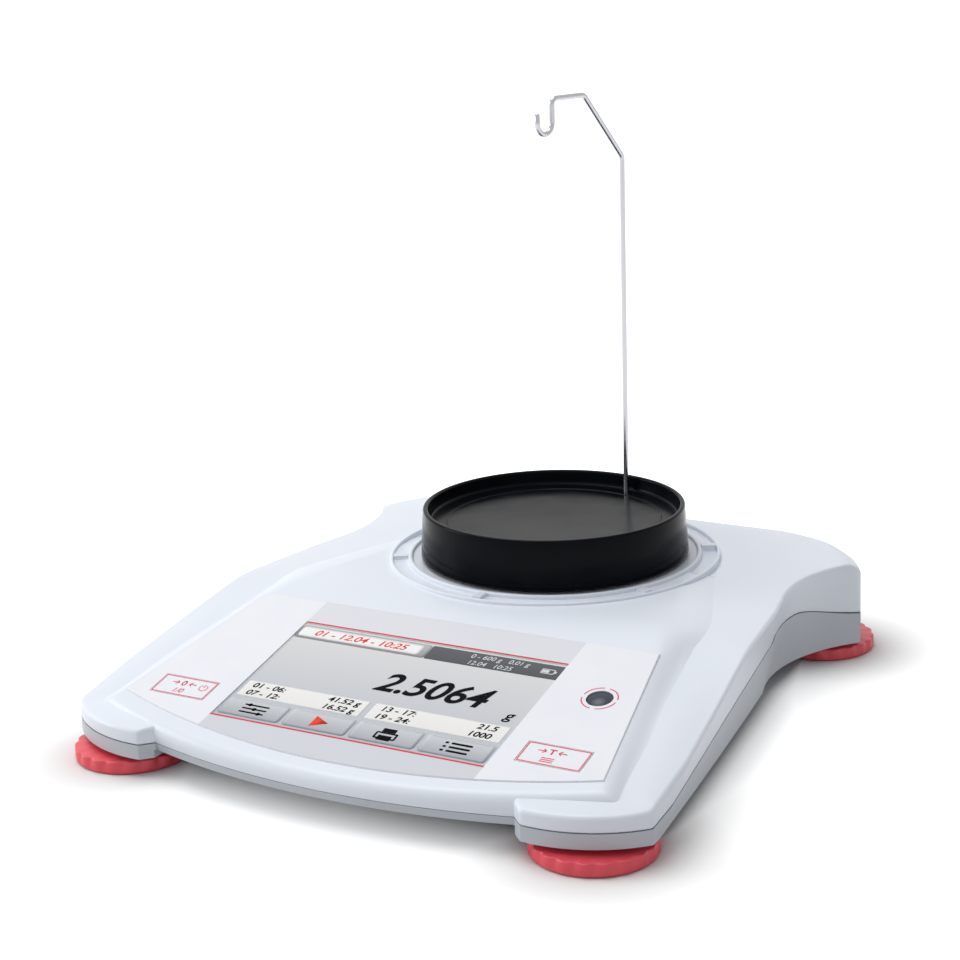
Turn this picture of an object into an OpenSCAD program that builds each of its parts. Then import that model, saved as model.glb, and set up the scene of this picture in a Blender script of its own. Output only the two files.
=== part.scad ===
// Portable top-loading balance with a touch display, a loading dish and a hook for weighing
// a hanging sample. Millimetres, +X right, +Y back, +Z up, origin on the table under the middle.

/* [Housing] */
// Width of each wing beside the raised panel
wing_w = 13; // [12:0.1:16]
// Depth of the housing from the front skirt to the back
body_d = 224.6; // [220:0.1:236]
// Height of the underside above the table
floor_z = 6; // [5.8:0.1:7]
// Wall thickness of both mouldings
wall = 2.4; // [1.8:0.1:2.8]
// Thickness of the floor of the lower moulding
base_t = 3; // [2.6:0.1:3.4]
// Radius of the bowed front skirt, seen from above
skirt_r = 238; // [200:1:300]
// Height of the level top of the front pods
pod_top = 15.5; // [15:0.1:16.5]
// Width of each front pod
pod_w = 37.7; // [36:0.1:42]
// Radius of the front of each pod, seen from above
pod_r = 41.5; // [39:0.5:44]
// Depth of the waist cut into each side ahead of the rear corners
waist_cut = 13.8; // [11:0.1:15]
// Radius of the waist, seen along its leaning axis
waist_r = 52.7; // [46:0.1:60]
// Radius of the rear corners, seen from above
rear_r = 42; // [36:1:50]
// Lean of the side walls in degrees, inwards towards the underside
wall_lean = 9; // [7:0.5:11]
// Height of the parting line along the front
parting_z = 10.8; // [10:0.1:12]
// Height of the parting line at its crest over the waist
parting_crest = 23; // [18:0.5:24]
// Height of the parting line at the back
parting_rear = 15.8; // [15.2:0.1:18]
// Shadow gap between the two mouldings
parting_gap = 0.4; // [0.2:0.1:0.8]

/* [Control panel] */
// Slope of the control panel in degrees
panel_slope = 12.87; // [12:0.1:14]
// Height of the panel plane at the lower edge of the picture
panel_z = 19.3; // [18.8:0.1:21]
// Distance from the front skirt back to the lower edge of the picture
panel_setback = 18.1; // [16:0.1:22]
// Margin of the raised panel outside the keys, at the lower edge of the picture
panel_margin = 11.8; // [11:0.1:14]
// Step down from the panel to the wings beside it
wing_step = 3.8; // [2:0.1:4.4]
// Run of the sloping face of that step
step_run = 4.3; // [3:0.1:6]
// Radius of the rounded front edge of the panel
front_round = 4; // [2:0.1:4.4]
// Height of the flat platform round the draft ring
platform_z = 37.2; // [36.8:0.1:39]
// Height of the shoulders at the middle of their crown
shoulder_z = 37; // [36:0.1:37.1]
// Radius of the crown of the shoulders, seen from the front
crown_r = 1500; // [1000:50:3000]
// Fall of the top towards the back edge
rear_fall = 6.4; // [4:0.1:7]

/* [Draft ring] */
// Distance from the back of the housing forward to the weighing centre
ring_back = 68.6; // [66:0.1:72]
// Outer radius of the draft ring
ring_r = 57.7; // [54:0.1:60]
// Radius of the inner ridge
ridge_r = 51.4; // [49:0.1:52]
// Number of locking lugs between the rims
lug_n = 6; // [3:1:8]
// Radius of the hole that the pan support passes through
support_hole_r = 15; // [14:0.5:20]

/* [Loading dish] */
// Outer radius of the dish at its foot
dish_base_r = 46.8; // [44:0.1:48]
// Outer radius of the dish at its rim
dish_rim_r = 45.6; // [43:0.1:47]
// Height of the foot of the dish above the table
dish_z = 38.4; // [38:0.1:40]
// Height of the dish
dish_h = 17; // [14:0.5:24]
// Depth of the tray in the top of the dish
tray_h = 5.2; // [4.6:0.1:7]
// Wall of the dish
dish_wall = 1.8; // [1.2:0.1:2.4]

/* [Hook] */
// Diameter of the hook wire
wire_d = 1.9; // [1.6:0.1:2.6]
// Distance from the middle of the dish to the upright
hook_reach = 41; // [36:0.5:41.5]
// Turn of the hook about the middle of the dish, in degrees from the back
hook_turn = -12.8; // [-40:0.2:40]
// Height of the top of the arm above the table
hook_top = 193.8; // [150:0.2:220]
// Drop of the sloping part of the arm
hook_slope = 22.5; // [10:0.5:40]
// Radius of the bend that holds the thread loop
bend_r = 3.8; // [3.6:0.1:6]

/* [Levelling feet] */
// Distance of the feet in from the sides
foot_side = 19.2; // [18.7:0.1:24]
// Distance of the front feet back from the front skirt
foot_front = 20.3; // [19:0.1:24]
// Distance of the rear feet forward from the back
foot_rear = 21.4; // [20:0.1:26]
// Radius of the knurled wheel of a foot
knob_r = 18.7; // [16:0.1:20]
// Number of finger scallops round a wheel
scallop_n = 20; // [12:1:28]
// Diameter of the threaded stud
stud_d = 8; // [6:0.5:9]
// Radius of the rubber pad under a wheel
pad_r = 13; // [10:0.5:15]

/* [Display] */
// Width of the picture area
lcd_w = 96; // [90:0.5:100]
// Height of the picture area
lcd_h = 54.4; // [50:0.2:58]
// Thickness of the touch glass
glass_t = 1.1; // [0.8:0.1:1.6]
// Thickness of the printed front film
film_t = 0.4; // [0.2:0.05:0.6]
// Depth of the circuit board below the panel plane
board_drop = 6; // [5.6:0.1:6.6]
// Thickness of the circuit boards
pcb_t = 1.6; // [1:0.1:2]

/* [Keys and level] */
// Width of a key
key_w = 20.4; // [16:0.1:24]
// Height of a key
key_h = 9.7; // [8:0.1:12]
// Gap between the picture and a key
key_gap = 7; // [6.6:0.1:9]
// Place of the keys up the panel
key_v = 10; // [8.5:0.1:12]
// Travel of a key
key_travel = 0.4; // [0.2:0.05:0.45]
// Place of the level up the panel
level_v = 40.5; // [34:0.5:46]
// Radius of the level's body
level_r = 5.5; // [5:0.1:5.6]
// Radius of the level's window
level_window_r = 4.15; // [3.4:0.05:4.4]

/* [Weighing cell] */
// Length of the weighing cell
cell_len = 76; // [70:1:80]
// Width and height of the weighing cell
cell_w = 14; // [12:0.5:14.5]
// Radius of the two bores that thin the beam
cell_bore_r = 5.2; // [4:0.1:5.8]
// Thickness of the base plate under the cell
plate_t = 3; // [2.4:0.1:3.4]
// Gap above and below the beam, filled by the spacers
spacer_t = 2; // [1.6:0.1:2.4]
// Radius of the spigot that centres the dish
spigot_r = 6; // [4:0.5:8]

/* [Power and lock] */
// Diameter of a battery cell
cell_d = 14.2; // [13.8:0.1:14.4]
// Length of a battery cell
battery_len = 50.2; // [49:0.1:50.6]
// Number of battery cells side by side
battery_n = 4; // [2:1:4]
// Travel of the battery cover as it slides off its tabs
cover_travel = 6; // [4:0.5:8]
// Radius of the transport lock
lock_r = 10; // [8:0.5:12]
// Radius of the power socket's bore
jack_r = 2.75; // [2.4:0.05:2.8]

/* [Hidden] */
$fn = 64;
white = "#e9ebf0";
grey = "#a9aeb4";
coral = "#e0485f";
steel = "#b9bcc0";
aluminium = "#c9ccd0";
board_green = "#2f6b4a";
// Clearances: loose parts, running fits and the sliding tabs of the battery cover
slack = 0.25;
running = 0.06;
tab = 1.2;
// Widths, worked outwards from the picture
key_u = lcd_w / 2 + key_gap + key_w / 2;
panel_w = 2 * (key_u + key_w / 2 + panel_margin);
body_w = panel_w + 2 * wing_w;
pod_gap = body_w - 2 * pod_w;
waist_w = body_w - 2 * waist_cut;
foot_span = body_w - 2 * foot_side;
// Plan references
front_y = -body_d / 2;
rear_y = body_d / 2;
ring_y = rear_y - ring_back;
panel_y = front_y + panel_setback;
pod_x = pod_gap / 2 + 6.9;
pod_y = front_y + pod_r + 4.3;
pod_bevel = 4;
rear_cx = body_w / 2 - rear_r + 0.2;
rear_cy = rear_y - rear_r;
far = 300;
// Bowed side wall: radius, place of its widest point and half width at the height bow_z
bow_r = 4000;
bow_y = front_y - 415.7;
bow_x = body_w / 2 + 26.5;
bow_z = 20;
// Waist: narrowest half width and place, at the underside and at the height waist_top
waist_y = rear_y - 59.8;
waist_top = 35;
waist_in = 3.3;
waist_back = 9;
waist_join = rear_y - 76;
rear_round = 14;
// Place where the parting line starts to climb along the sides
climb_y = front_y + 18;
// Place where the level pods run into the sloping wings
pod_crease = panel_y + (pod_top + wing_step - panel_z) / tan(panel_slope);
// Side lines of the raised panel: along the film, then in towards the draft ring
panel_taper = 10.9;
step_angle = atan2(wing_step, step_run);
shoulder_taper = 17.2;
shoulder_step = 15;
corner_y = panel_y + 86.2;
corner_x = panel_w / 2 - 15.7;
skirt_v = -19.53 + (panel_setback - 18.1) * -1.02 + skirt_r;
base_z = floor_z + base_t;
ring_floor = platform_z + 0.1;
rim_t = 1.1;
rim_h = 0.8;
ridge_t = 1.6;
ridge_h = 1.2;
feet = [for (v = [front_y + foot_front, rear_y - foot_rear]) for (s = [-1, 1]) [s * foot_span / 2, v]];
insert_top = floor_z + 6.2;
knob_z = 0.7;
knob_t = 4.2;
pad_t = 1.4;
pillar_z = base_z + 2;
screw_seat = base_z + 0.4;
screw_spots = [for (p = [[pod_gap / 2 - 4.5, front_y + 14.3, 0],
    [body_w / 2 - 14.2, front_y + 54, -wing_step], [rear_cx - 12.4, rear_y - 15, far]])
  for (s = [-1, 1]) [s * p[0], p[1], min(panel_plane(p[1]) + p[2], shoulder_z - 0.8)]];
// Film outline: even border inside the panel, its front edge the skirt's curve moved up the panel
film_border = 3.7;
film_front = 8.1;
film_top_v = 67.65;
glass_edge = 1.5;
module_edge = 5;
board_half = key_u + level_r + 0.3;
dome_h = 0.45;
plunger_z = -board_drop + dome_h + key_travel + 0.1;
board_v0 = 2;
board_v1 = lcd_h + 8.6;
board_spots = [for (v = [24, lcd_h + 3.6]) for (s = [-1, 1]) [s * (lcd_w / 2 + 10), v]];
// Stack of the weighing cell, from the floor up
plate_top = base_z + plate_t;
beam_z = plate_top + spacer_t;
beam_top = beam_z + cell_w;
support_z = beam_top + spacer_t;
support_t = 3;
support_r = 30;
boss_top = dish_z + 2.1;
spacer_len = 17;
plate_half = cell_w / 2 + 7;
cell_front = ring_y - cell_len / 2;
cell_back = ring_y + cell_len / 2;
tray_z = dish_z + dish_h - tray_h;
// Battery bay on the left, board on the right, both clear of the leaning waist
bay_wall = 1.6;
side_room = waist_in + wall + 1.6;
bay_l = battery_len + 2.8;
bay_w = battery_n * (cell_d + 0.4) + 1.1;
bay_x = bay_l / 2 + bay_wall + side_room - waist_w / 2;
bay_y = ring_y - 22;
cover_t = 1.6;
cover_z = floor_z + 0.1;
cell_z = cover_z + cover_t + 0.1 + cell_d / 2;
bay_roof = cell_z + cell_d / 2 + 0.3;
main_board_box = [waist_w / 2 - side_room - 52, ring_y - 54, 52, 64];
main_board_z = base_z + 4;
lock_y = cell_front + 8;
lock_z = floor_z + 0.1;
lock_t = 1.9;
jack_x = rear_cx - 33.4;
jack_z = base_z + 3.1;
port_x = -30;
port_z = 23;
port_w = 28;
port_h = 9;

function softmin(a, b, k) = min(a, b) - pow(max(k - abs(a - b), 0), 2) / (4 * k);
function clamp01(t) = min(max(t, 0), 1);
function ramp(t) = let (c = clamp01(t)) c * c * (3 - 2 * c);
function panel_plane(y) = panel_z + (y - panel_y) * tan(panel_slope);
function climb(t) = let (c = clamp01(t)) c * (1.5 - 0.5 * c * c);
function wing_z(y) = -softmin(-softmin(panel_plane(y) - wing_step, shoulder_z, 6), -pod_top, 1);

module both_sides() {
  for (s = [0, 1]) mirror([s, 0, 0]) children();
}

// Places children in the panel's own frame: u across, v up the slope, z out of the panel
module on_panel(u = 0, v = 0) {
  translate([0, panel_y, panel_z]) rotate([panel_slope, 0, 0]) translate([u, v, 0]) children();
}

// Everything on the inner side of a plane through the origin; the plane faces +X, then is turned
module inner_side(w) {
  translate([-far - w, -far, -far]) cube([far, 2 * far, 2 * far]);
}

// Side walls: two leaning bowed walls ahead, leaning waists cut in behind, w smaller
module sides(w) {
  difference() {
    intersection() {
      translate([w - body_w / 2, -far, -20]) cube([body_w - 2 * w, 2 * far, 100]);
      union() {
        intersection() {
          translate([-far, -far, -15]) cube([2 * far, far + waist_join, 90]);
          bowed_wall(w);
          mirror([1, 0, 0]) bowed_wall(w);
        }
        translate([-far, waist_join, -15]) cube([2 * far, far, 90]);
      }
    }
    both_sides() translate([waist_w / 2 + waist_r - waist_in, waist_y - waist_back, floor_z])
      rotate([-atan2(waist_back, waist_top - floor_z), atan2(waist_in, waist_top - floor_z), 0])
        translate([0, 0, -60]) cylinder(r = waist_r + w, h = 160, $fn = 180);
  }
}

module bowed_wall(w) {
  translate([0, bow_y, bow_z]) rotate([0, wall_lean, 0]) translate([bow_x * cos(wall_lean) - bow_r, 0, -200])
    cylinder(r = bow_r - w, h = 400, $fn = 1440);
}

// Section of the rear edge: flat, then rolling off to the back wall
module rear_section(w) {
  roll = (rear_round * rear_round + rear_fall * rear_fall) / (2 * rear_fall);
  square([rear_r - rear_round, shoulder_z - w]);
  intersection() {
    translate([rear_r - rear_round, shoulder_z - roll]) circle(r = roll - w, $fn = 180);
    translate([rear_r - rear_round, 0]) square([rear_round - w, far]);
  }
}

module rear_cap(w) {
  translate([-far, -far, 0]) cube([2 * far, far + rear_cy, shoulder_z - w]);
  both_sides() translate([rear_cx, rear_cy, 0]) rotate_extrude($fn = 180) rear_section(w);
  translate([-rear_cx, rear_cy, 0]) rotate([90, 0, 90]) linear_extrude(2 * rear_cx) rear_section(w);
}

// Wings and shoulders: sloping beside the panel, crowned and rolled off at the back
module wings(w) {
  ys = concat([-far / 2], [for (k = [-5:5]) pod_crease + k], [for (k = [-5:5]) corner_y + 5 + k * 5], [far]);
  intersection() {
    rear_cap(w);
    rotate([90, 0, 90]) translate([0, 0, -far]) linear_extrude(2 * far)
      polygon(concat([for (y = ys) [y, wing_z(y) - w]], [[far, -10], [-far / 2, -10]]));
    translate([0, far, shoulder_z - crown_r]) rotate([90, 0, 0])
      cylinder(r = crown_r - w, h = 2 * far, $fn = 1440);
    translate([0, 0, -1]) linear_extrude(platform_z) pods_plan(w);
  }
}

module pods_plan(w) {
  translate([-far, pod_y]) square([2 * far, far]);
  translate([-pod_x, front_y + 12 + w]) square([2 * pod_x, far]);
  both_sides() intersection() {
    translate([pod_x, pod_y]) circle(r = pod_r - w, $fn = 180);
    polygon([[pod_gap / 2 + w, 0], [pod_gap / 2 + w, front_y + 8.2],
      [pod_gap / 2 + w + 2 * pod_bevel, front_y + 8.2 - 2 * pod_bevel], [far, front_y - 8], [far, 0]]);
  }
}

// Raised panel with the bowed front skirt and the platform behind it
module plateau(w) {
  depth = 60;
  intersection() {
    on_panel(0, skirt_v) rotate_extrude($fn = 720) {
      translate([0, -depth]) square([skirt_r - w, depth - front_round]);
      translate([0, -front_round - 1]) square([skirt_r - front_round, front_round + 1 - w]);
      translate([skirt_r - front_round, -front_round]) circle(r = front_round - w);
    }
    translate([-far, -far, -5]) cube([2 * far, far + ring_y, 5 + platform_z - w]);
    on_panel(panel_w / 2) rotate([0, step_angle - 90, panel_taper]) inner_side(w);
    mirror([1, 0, 0]) on_panel(panel_w / 2) rotate([0, step_angle - 90, panel_taper]) inner_side(w);
    shoulder_side(w);
    mirror([1, 0, 0]) shoulder_side(w);
  }
}

module shoulder_side(w) {
  translate([corner_x, corner_y, platform_z]) rotate([0, shoulder_step - 90, shoulder_taper])
    inner_side(w);
}

module body_form(w) {
  intersection() {
    sides(w);
    union() {
      wings(w);
      plateau(w);
    }
  }
}

function parting(y) = y < waist_y
  ? parting_z + (parting_crest - parting_z) * climb((y - climb_y) / (waist_y - climb_y))
  : parting_crest + (parting_rear - parting_crest) * ramp((y - waist_y) / 36);

module beyond_parting(lift, limit) {
  ys = concat([for (k = [0:24]) climb_y + k / 24 * (waist_y - climb_y)], [for (k = [1:16]) waist_y + k * 3]);
  line = concat([[-body_d, parting_z + lift]], [for (y = ys) [y, parting(y) + lift]],
    [[body_d, parting_rear + lift]]);
  rotate([90, 0, 90]) translate([0, 0, -body_w]) linear_extrude(2 * body_w)
    polygon(concat(line, [[body_d, limit], [-body_d, limit]]));
}

module block(box, z, h) {
  translate([box[0], box[1], z]) cube([box[2], box[3], h]);
}

module rod(r, z, h) {
  translate([0, 0, z]) cylinder(r = r, h = h);
}

module pipe(r, t, z, h) {
  difference() {
    rod(r, z, h);
    rod(r - t, z - 1, h + 2);
  }
}

module panel_block(u, v, w, h, z0, z1) {
  on_panel(u, v) translate([-w / 2, -h / 2, z0]) cube([w, h, z1 - z0]);
}

module at_weighing_centre() {
  translate([0, ring_y, 0]) children();
}

module upper_housing() {
  color(white) difference() {
    union() {
      difference() {
        intersection() {
          body_form(0);
          beyond_parting(parting_gap / 2, platform_z + 20);
        }
        body_form(wall);
      }
      at_weighing_centre() {
        pipe(ring_r, ring_r - support_hole_r, ring_floor - wall, wall);
        pipe(ring_r, rim_t, ring_floor - 1, 1 + rim_h);
        pipe(ridge_r, ridge_t, ring_floor - 1, 1 + ridge_h);
        for (k = [0:lug_n - 1]) rotate(90 + k * 360 / lug_n)
          translate([(ridge_r + ring_r - rim_t) / 2, 0, ring_floor + 0.2]) cube([4, 5, 2], center = true);
      }
      for (p = screw_spots) translate([p[0], p[1], 0])
        rod(3.6, pillar_z, p[2] - wall * 0.7 - pillar_z);
      for (p = board_spots) on_panel(p[0], p[1]) rod(3, -board_drop, board_drop - wall * 0.7);
    }
    for (p = screw_spots) translate([p[0], p[1], 0]) rod(1.3, pillar_z - 1, 4.4);
    for (p = board_spots) on_panel(p[0], p[1]) rod(1, -board_drop - 1, 4.4);
    at_weighing_centre() rod(support_hole_r, 0, platform_z + 10);
    panel_block(0, lcd_h / 2, lcd_w + 2 * (glass_edge + slack), lcd_h + 2 * (glass_edge + slack), -5, 5);
    for (s = [-1, 1]) {
      panel_block(s * key_u, key_v, key_w + 2 * slack, key_h + 2 * slack, -1, 5);
      on_panel(s * key_u, key_v) rod(3 + slack, -5, 6);
    }
    on_panel(key_u, level_v) rod(level_r + slack, -5, 10);
    translate([port_x - port_w / 2, rear_y - 10, port_z - port_h / 2]) cube([port_w, 20, port_h]);
  }
}

module lower_housing() {
  color(grey) difference() {
    union() {
      difference() {
        intersection() {
          body_form(0);
          beyond_parting(-parting_gap / 2, -20);
          translate([-body_w, -body_d, floor_z]) cube([2 * body_w, 2 * body_d, 50]);
        }
        intersection() {
          body_form(wall);
          translate([-body_w, -body_d, base_z]) cube([2 * body_w, 2 * body_d, 50]);
        }
      }
      for (p = feet) translate([p[0], p[1], 0]) rod(stud_d / 2 + 4.4, floor_z, insert_top - floor_z);
      for (p = screw_spots) translate([p[0], p[1], 0]) rod(4.4, floor_z, pillar_z - floor_z);
      block([bay_x - bay_l / 2 - bay_wall, bay_y - bay_w / 2 - bay_wall, bay_l + 2 * bay_wall,
        bay_w + 2 * bay_wall], floor_z, bay_roof + bay_wall - floor_z);
      for (i = [0, 1]) for (j = [0, 1])
        translate([main_board_box[0] + 5 + i * (main_board_box[2] - 10),
          main_board_box[1] + 5 + j * (main_board_box[3] - 10), 0]) rod(3, floor_z, main_board_z - floor_z);
    }
    for (p = feet) translate([p[0], p[1], 0]) rod(stud_d / 2 + 2, floor_z - 1, 20);
    for (p = screw_spots) translate([p[0], p[1], 0]) {
      rod(1.7, floor_z - 1, 20);
      rod(3.2, floor_z - 1, screw_seat + 1 - floor_z);
    }
    block([bay_x - bay_l / 2, bay_y - bay_w / 2, bay_l, bay_w], floor_z - 1, bay_roof - floor_z + 1);
    cover_slot(bay_l + 2 * 2.4 + 2 * slack, floor_z - 1, cover_z + cover_t + 0.1);
    cover_slot(bay_l + 2 * 2.4 + 2 * slack + 2 * tab, cover_z + 0.7, cover_z + cover_t + 0.1);
    translate([0, lock_y, 0]) {
      rod(lock_r + slack, floor_z - 1, lock_t + 1.2);
      rod(4 + running, floor_z - 1, 20);
    }
    translate([jack_x, rear_y, jack_z]) rotate([90, 0, 0]) translate([0, 0, -5])
      cylinder(r = jack_r + 0.3, h = 20);
    translate([-3.5, rear_y - 10, base_z + 1]) cube([7, 20, 3]);
  }
}

// Slot of the battery cover: as wide as asked, longer than the cover by its travel
module cover_slot(w, z0, z1) {
  block([bay_x - w / 2, bay_y - bay_w / 2 - 2.4 - cover_travel - slack, w,
    bay_w + 2 * 2.4 + cover_travel + 2 * slack], z0, z1 - z0);
}

module film_shape() {
  top_w = panel_w / 2 - tan(panel_taper) * film_top_v - film_border + 2;
  low_w = panel_w / 2 - film_border;
  intersection() {
    translate([0, skirt_v + film_front]) circle(r = skirt_r, $fn = 360);
    polygon([[-top_w, film_top_v], [top_w, film_top_v], [low_w, 4.2], [low_w + 4, -20],
      [-low_w - 4, -20], [-low_w, 4.2]]);
  }
}

module front_overlay() {
  color("#f2f4f8") on_panel() linear_extrude(film_t) difference() {
    film_shape();
    translate([-lcd_w / 2, 0]) square([lcd_w, lcd_h]);
    for (s = [-1, 1]) translate([s * key_u, key_v])
      square([key_w + 2 * slack, key_h + 2 * slack], center = true);
    translate([key_u, level_v]) circle(r = level_window_r);
  }
}

module display_window() {
  color("#3a3f47") panel_block(0, lcd_h / 2, lcd_w + 2 * glass_edge, lcd_h + 2 * glass_edge, -glass_t, 0);
}

module display_module() {
  color(steel) {
    panel_block(0, lcd_h / 2, lcd_w + 2 * glass_edge - 0.4, lcd_h + 2 * glass_edge - 0.4, -wall - 1,
      -glass_t);
    panel_block(0, lcd_h / 2, lcd_w + 2 * module_edge, lcd_h + 2 * module_edge, -board_drop, -wall - 0.3);
  }
}

module display_board() {
  color(board_green) on_panel() difference() {
    translate([-board_half, board_v0, -board_drop - pcb_t])
      cube([2 * board_half, board_v1 - board_v0, pcb_t]);
    for (p = board_spots) translate([p[0], p[1], 0]) rod(1.2, -board_drop - pcb_t - 1, pcb_t + 2);
  }
}

// A key: a printed pad in the film and a plunger through the panel to its dome
module key(side) {
  color("#f2f4f8") {
    panel_block(side * key_u, key_v, key_w, key_h, -0.2, film_t);
    on_panel(side * key_u, key_v) rod(3, plunger_z, -0.1 - plunger_z);
  }
}

module zero_key() {
  key(-1);
}

module tare_key() {
  key(1);
}

module key_domes() {
  color(steel) for (s = [-1, 1]) on_panel(s * key_u, key_v) rod(4, -board_drop, dome_h);
}

module level_body() {
  color("#2a2c30") on_panel(key_u, level_v) difference() {
    rod(level_r, -board_drop, board_drop - 0.1);
    rod(level_window_r + 0.3, -4.2, 10);
  }
}

module level_window() {
  color("#6f7378") on_panel(key_u, level_v) rod(level_window_r + 0.2, -4.2, 4.1);
}

module main_board() {
  b = main_board_box;
  color(board_green) difference() {
    union() {
      block(b, main_board_z, pcb_t);
      block([b[0] + 14, b[1] + 16, 12, 12], main_board_z, pcb_t + 1.6);
      block([b[0] + 32, b[1] + 34, 9, 14], main_board_z, pcb_t + 2.4);
      block([b[0] + 12, b[1] + 44, 16, 6], main_board_z, pcb_t + 6);
    }
    for (i = [0, 1]) for (j = [0, 1])
      translate([b[0] + 5 + i * (b[2] - 10), b[1] + 5 + j * (b[3] - 10), 0]) rod(1.2, main_board_z - 1, 10);
  }
}

// Single-point cell: two bores joined by a slot leave thin flexing webs above and below
module load_cell() {
  color(aluminium) difference() {
    block([-cell_w / 2, cell_front, cell_w, cell_len], beam_z, cell_w);
    for (s = [-1, 1]) translate([-cell_w, ring_y + s * 11, beam_z + cell_w / 2])
      rotate([0, 90, 0]) cylinder(r = cell_bore_r, h = 2 * cell_w);
    block([-cell_w, ring_y - 11, 2 * cell_w, 22], beam_z + cell_w / 2 - 1.5, 3);
    for (y = [cell_front + 4.5, cell_front + 12.5]) translate([0, y, 0]) rod(1.6, beam_top - 9, 20);
    for (y = [cell_back - 4.5, cell_back - 12.5]) translate([0, y, 0]) rod(1.6, beam_z - 10, 19);
  }
}

module cell_plate() {
  color(aluminium) difference() {
    block([-plate_half, cell_front - 10, 2 * plate_half, cell_len + 20], base_z, plate_t);
    translate([0, lock_y, 0]) rod(5, 0, 40);
    for (y = [cell_back - 4.5, cell_back - 12.5]) translate([0, y, 0]) {
      rod(1.8, 0, 40);
      rod(3.2, 0, base_z + 1.6);
    }
  }
}

module cell_spacers() {
  color(steel) difference() {
    union() {
      block([-cell_w / 2, cell_back - spacer_len, cell_w, spacer_len], plate_top, spacer_t);
      block([-cell_w / 2, cell_front, cell_w, spacer_len], beam_top, spacer_t);
    }
    for (y = [cell_front + 4.5, cell_front + 12.5, cell_back - 4.5, cell_back - 12.5])
      translate([0, y, 0]) rod(1.8, 0, 60);
  }
}

module cell_screws() {
  color(steel) {
    for (y = [cell_back - 4.5, cell_back - 12.5]) translate([0, y, 0]) {
      rod(3, base_z + 0.1, 1.4);
      rod(1.5, base_z + 0.1, plate_t + spacer_t + 6);
    }
    for (y = [cell_front + 4.5, cell_front + 12.5]) translate([0, y, 0]) {
      rod(3, support_z + support_t - 1.4, 1.3);
      rod(1.5, beam_top - 6, spacer_t + support_t + 5.9);
    }
  }
}

// Disc over the cell with a boss through the housing and a spigot that centres the dish
module pan_support() {
  tongue = [-cell_w / 2, cell_front, cell_w, cell_len / 2];
  color("#d7dade") difference() {
    union() {
      at_weighing_centre() {
        rod(support_r, support_z, support_t);
        rod(support_hole_r - 3, support_z, boss_top - support_z);
        rod(spigot_r, support_z, dish_z + 7.6 - support_z);
      }
      block(tongue, support_z, support_t);
    }
    for (y = [cell_front + 4.5, cell_front + 12.5]) translate([0, y, 0]) {
      rod(1.8, 0, 60);
      rod(3.2, support_z + support_t - 1.5, 20);
    }
  }
}

function hook_spot(d) = [-d * sin(hook_turn), ring_y + d * cos(hook_turn)];

module at_hook(d) {
  p = hook_spot(d);
  translate([p[0], p[1], 0]) children();
}

module dish() {
  hub = spigot_r + 4;
  color("#15171b") difference() {
    union() {
      at_weighing_centre() rotate_extrude($fn = 128) polygon([[0, tray_z], [dish_rim_r - dish_wall, tray_z],
        [dish_rim_r - dish_wall, dish_z + dish_h], [dish_rim_r, dish_z + dish_h], [dish_base_r, dish_z],
        [dish_base_r - dish_wall, dish_z], [dish_rim_r - dish_wall + 0.3, tray_z - 2], [hub, tray_z - 2],
        [hub, boss_top], [0, boss_top]]);
      at_hook(hook_reach) rod(wire_d / 2 + 2.2, dish_z + 2, tray_z - dish_z - 2);
    }
    at_weighing_centre() rod(spigot_r + running, 0, dish_z + 7.8);
    at_hook(hook_reach) rod(wire_d / 2 + running, dish_z + 3, 60);
  }
}

// Bent wire: each step is a straight run, then a turn in the plane of the hook at a radius
module wire(steps, k = 0) {
  if (k < len(steps)) {
    turn = abs(steps[k][1]);
    r = steps[k][2];
    cylinder(d = wire_d, h = steps[k][0], $fn = 32);
    if (k > 0) sphere(d = wire_d + 0.06, $fn = 32);
    translate([0, 0, steps[k][0]]) rotate(steps[k][1] < 0 ? 180 : 0) {
      if (turn > 0) sphere(d = wire_d + 0.06, $fn = 32);
      if (turn > 0) translate([0, r, 0]) rotate([90, 0, -90]) rotate_extrude(angle = turn, $fn = 64)
        translate([r, 0]) circle(d = wire_d, $fn = 32);
      translate([0, r * (1 - cos(turn)), r * sin(turn)]) rotate([-turn, 0, 0])
        rotate(steps[k][1] < 0 ? 180 : 0) wire(steps, k + 1);
    }
  }
}

function trim(v) = round(v * 100) / 100;

module hook() {
  arm_r = 3;
  neck_r = 2;
  foot_of_hook = dish_z + 4;
  drop = 7.6;
  half = hook_reach / 2;
  tilt = trim(atan2(half, hook_slope));
  low_cut = arm_r * tan(tilt / 2);
  high_cut = arm_r * tan((90 - tilt) / 2);
  color(steel) at_weighing_centre() rotate(hook_turn) translate([0, hook_reach, foot_of_hook]) wire([
    [trim(hook_top - hook_slope - foot_of_hook - low_cut), -tilt, arm_r],
    [trim(norm([half, hook_slope]) - low_cut - high_cut), tilt - 90, arm_r],
    [trim(half - bend_r - high_cut - neck_r), -90, neck_r],
    [drop - neck_r, 180, bend_r],
    [3.4, 0, 1]]);
}

module foot_inserts() {
  color("#c7a55a") for (p = feet) translate([p[0], p[1], 0])
    pipe(stud_d / 2 + 2, 2 - running, floor_z + 0.2, insert_top - floor_z - 0.2);
}

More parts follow.
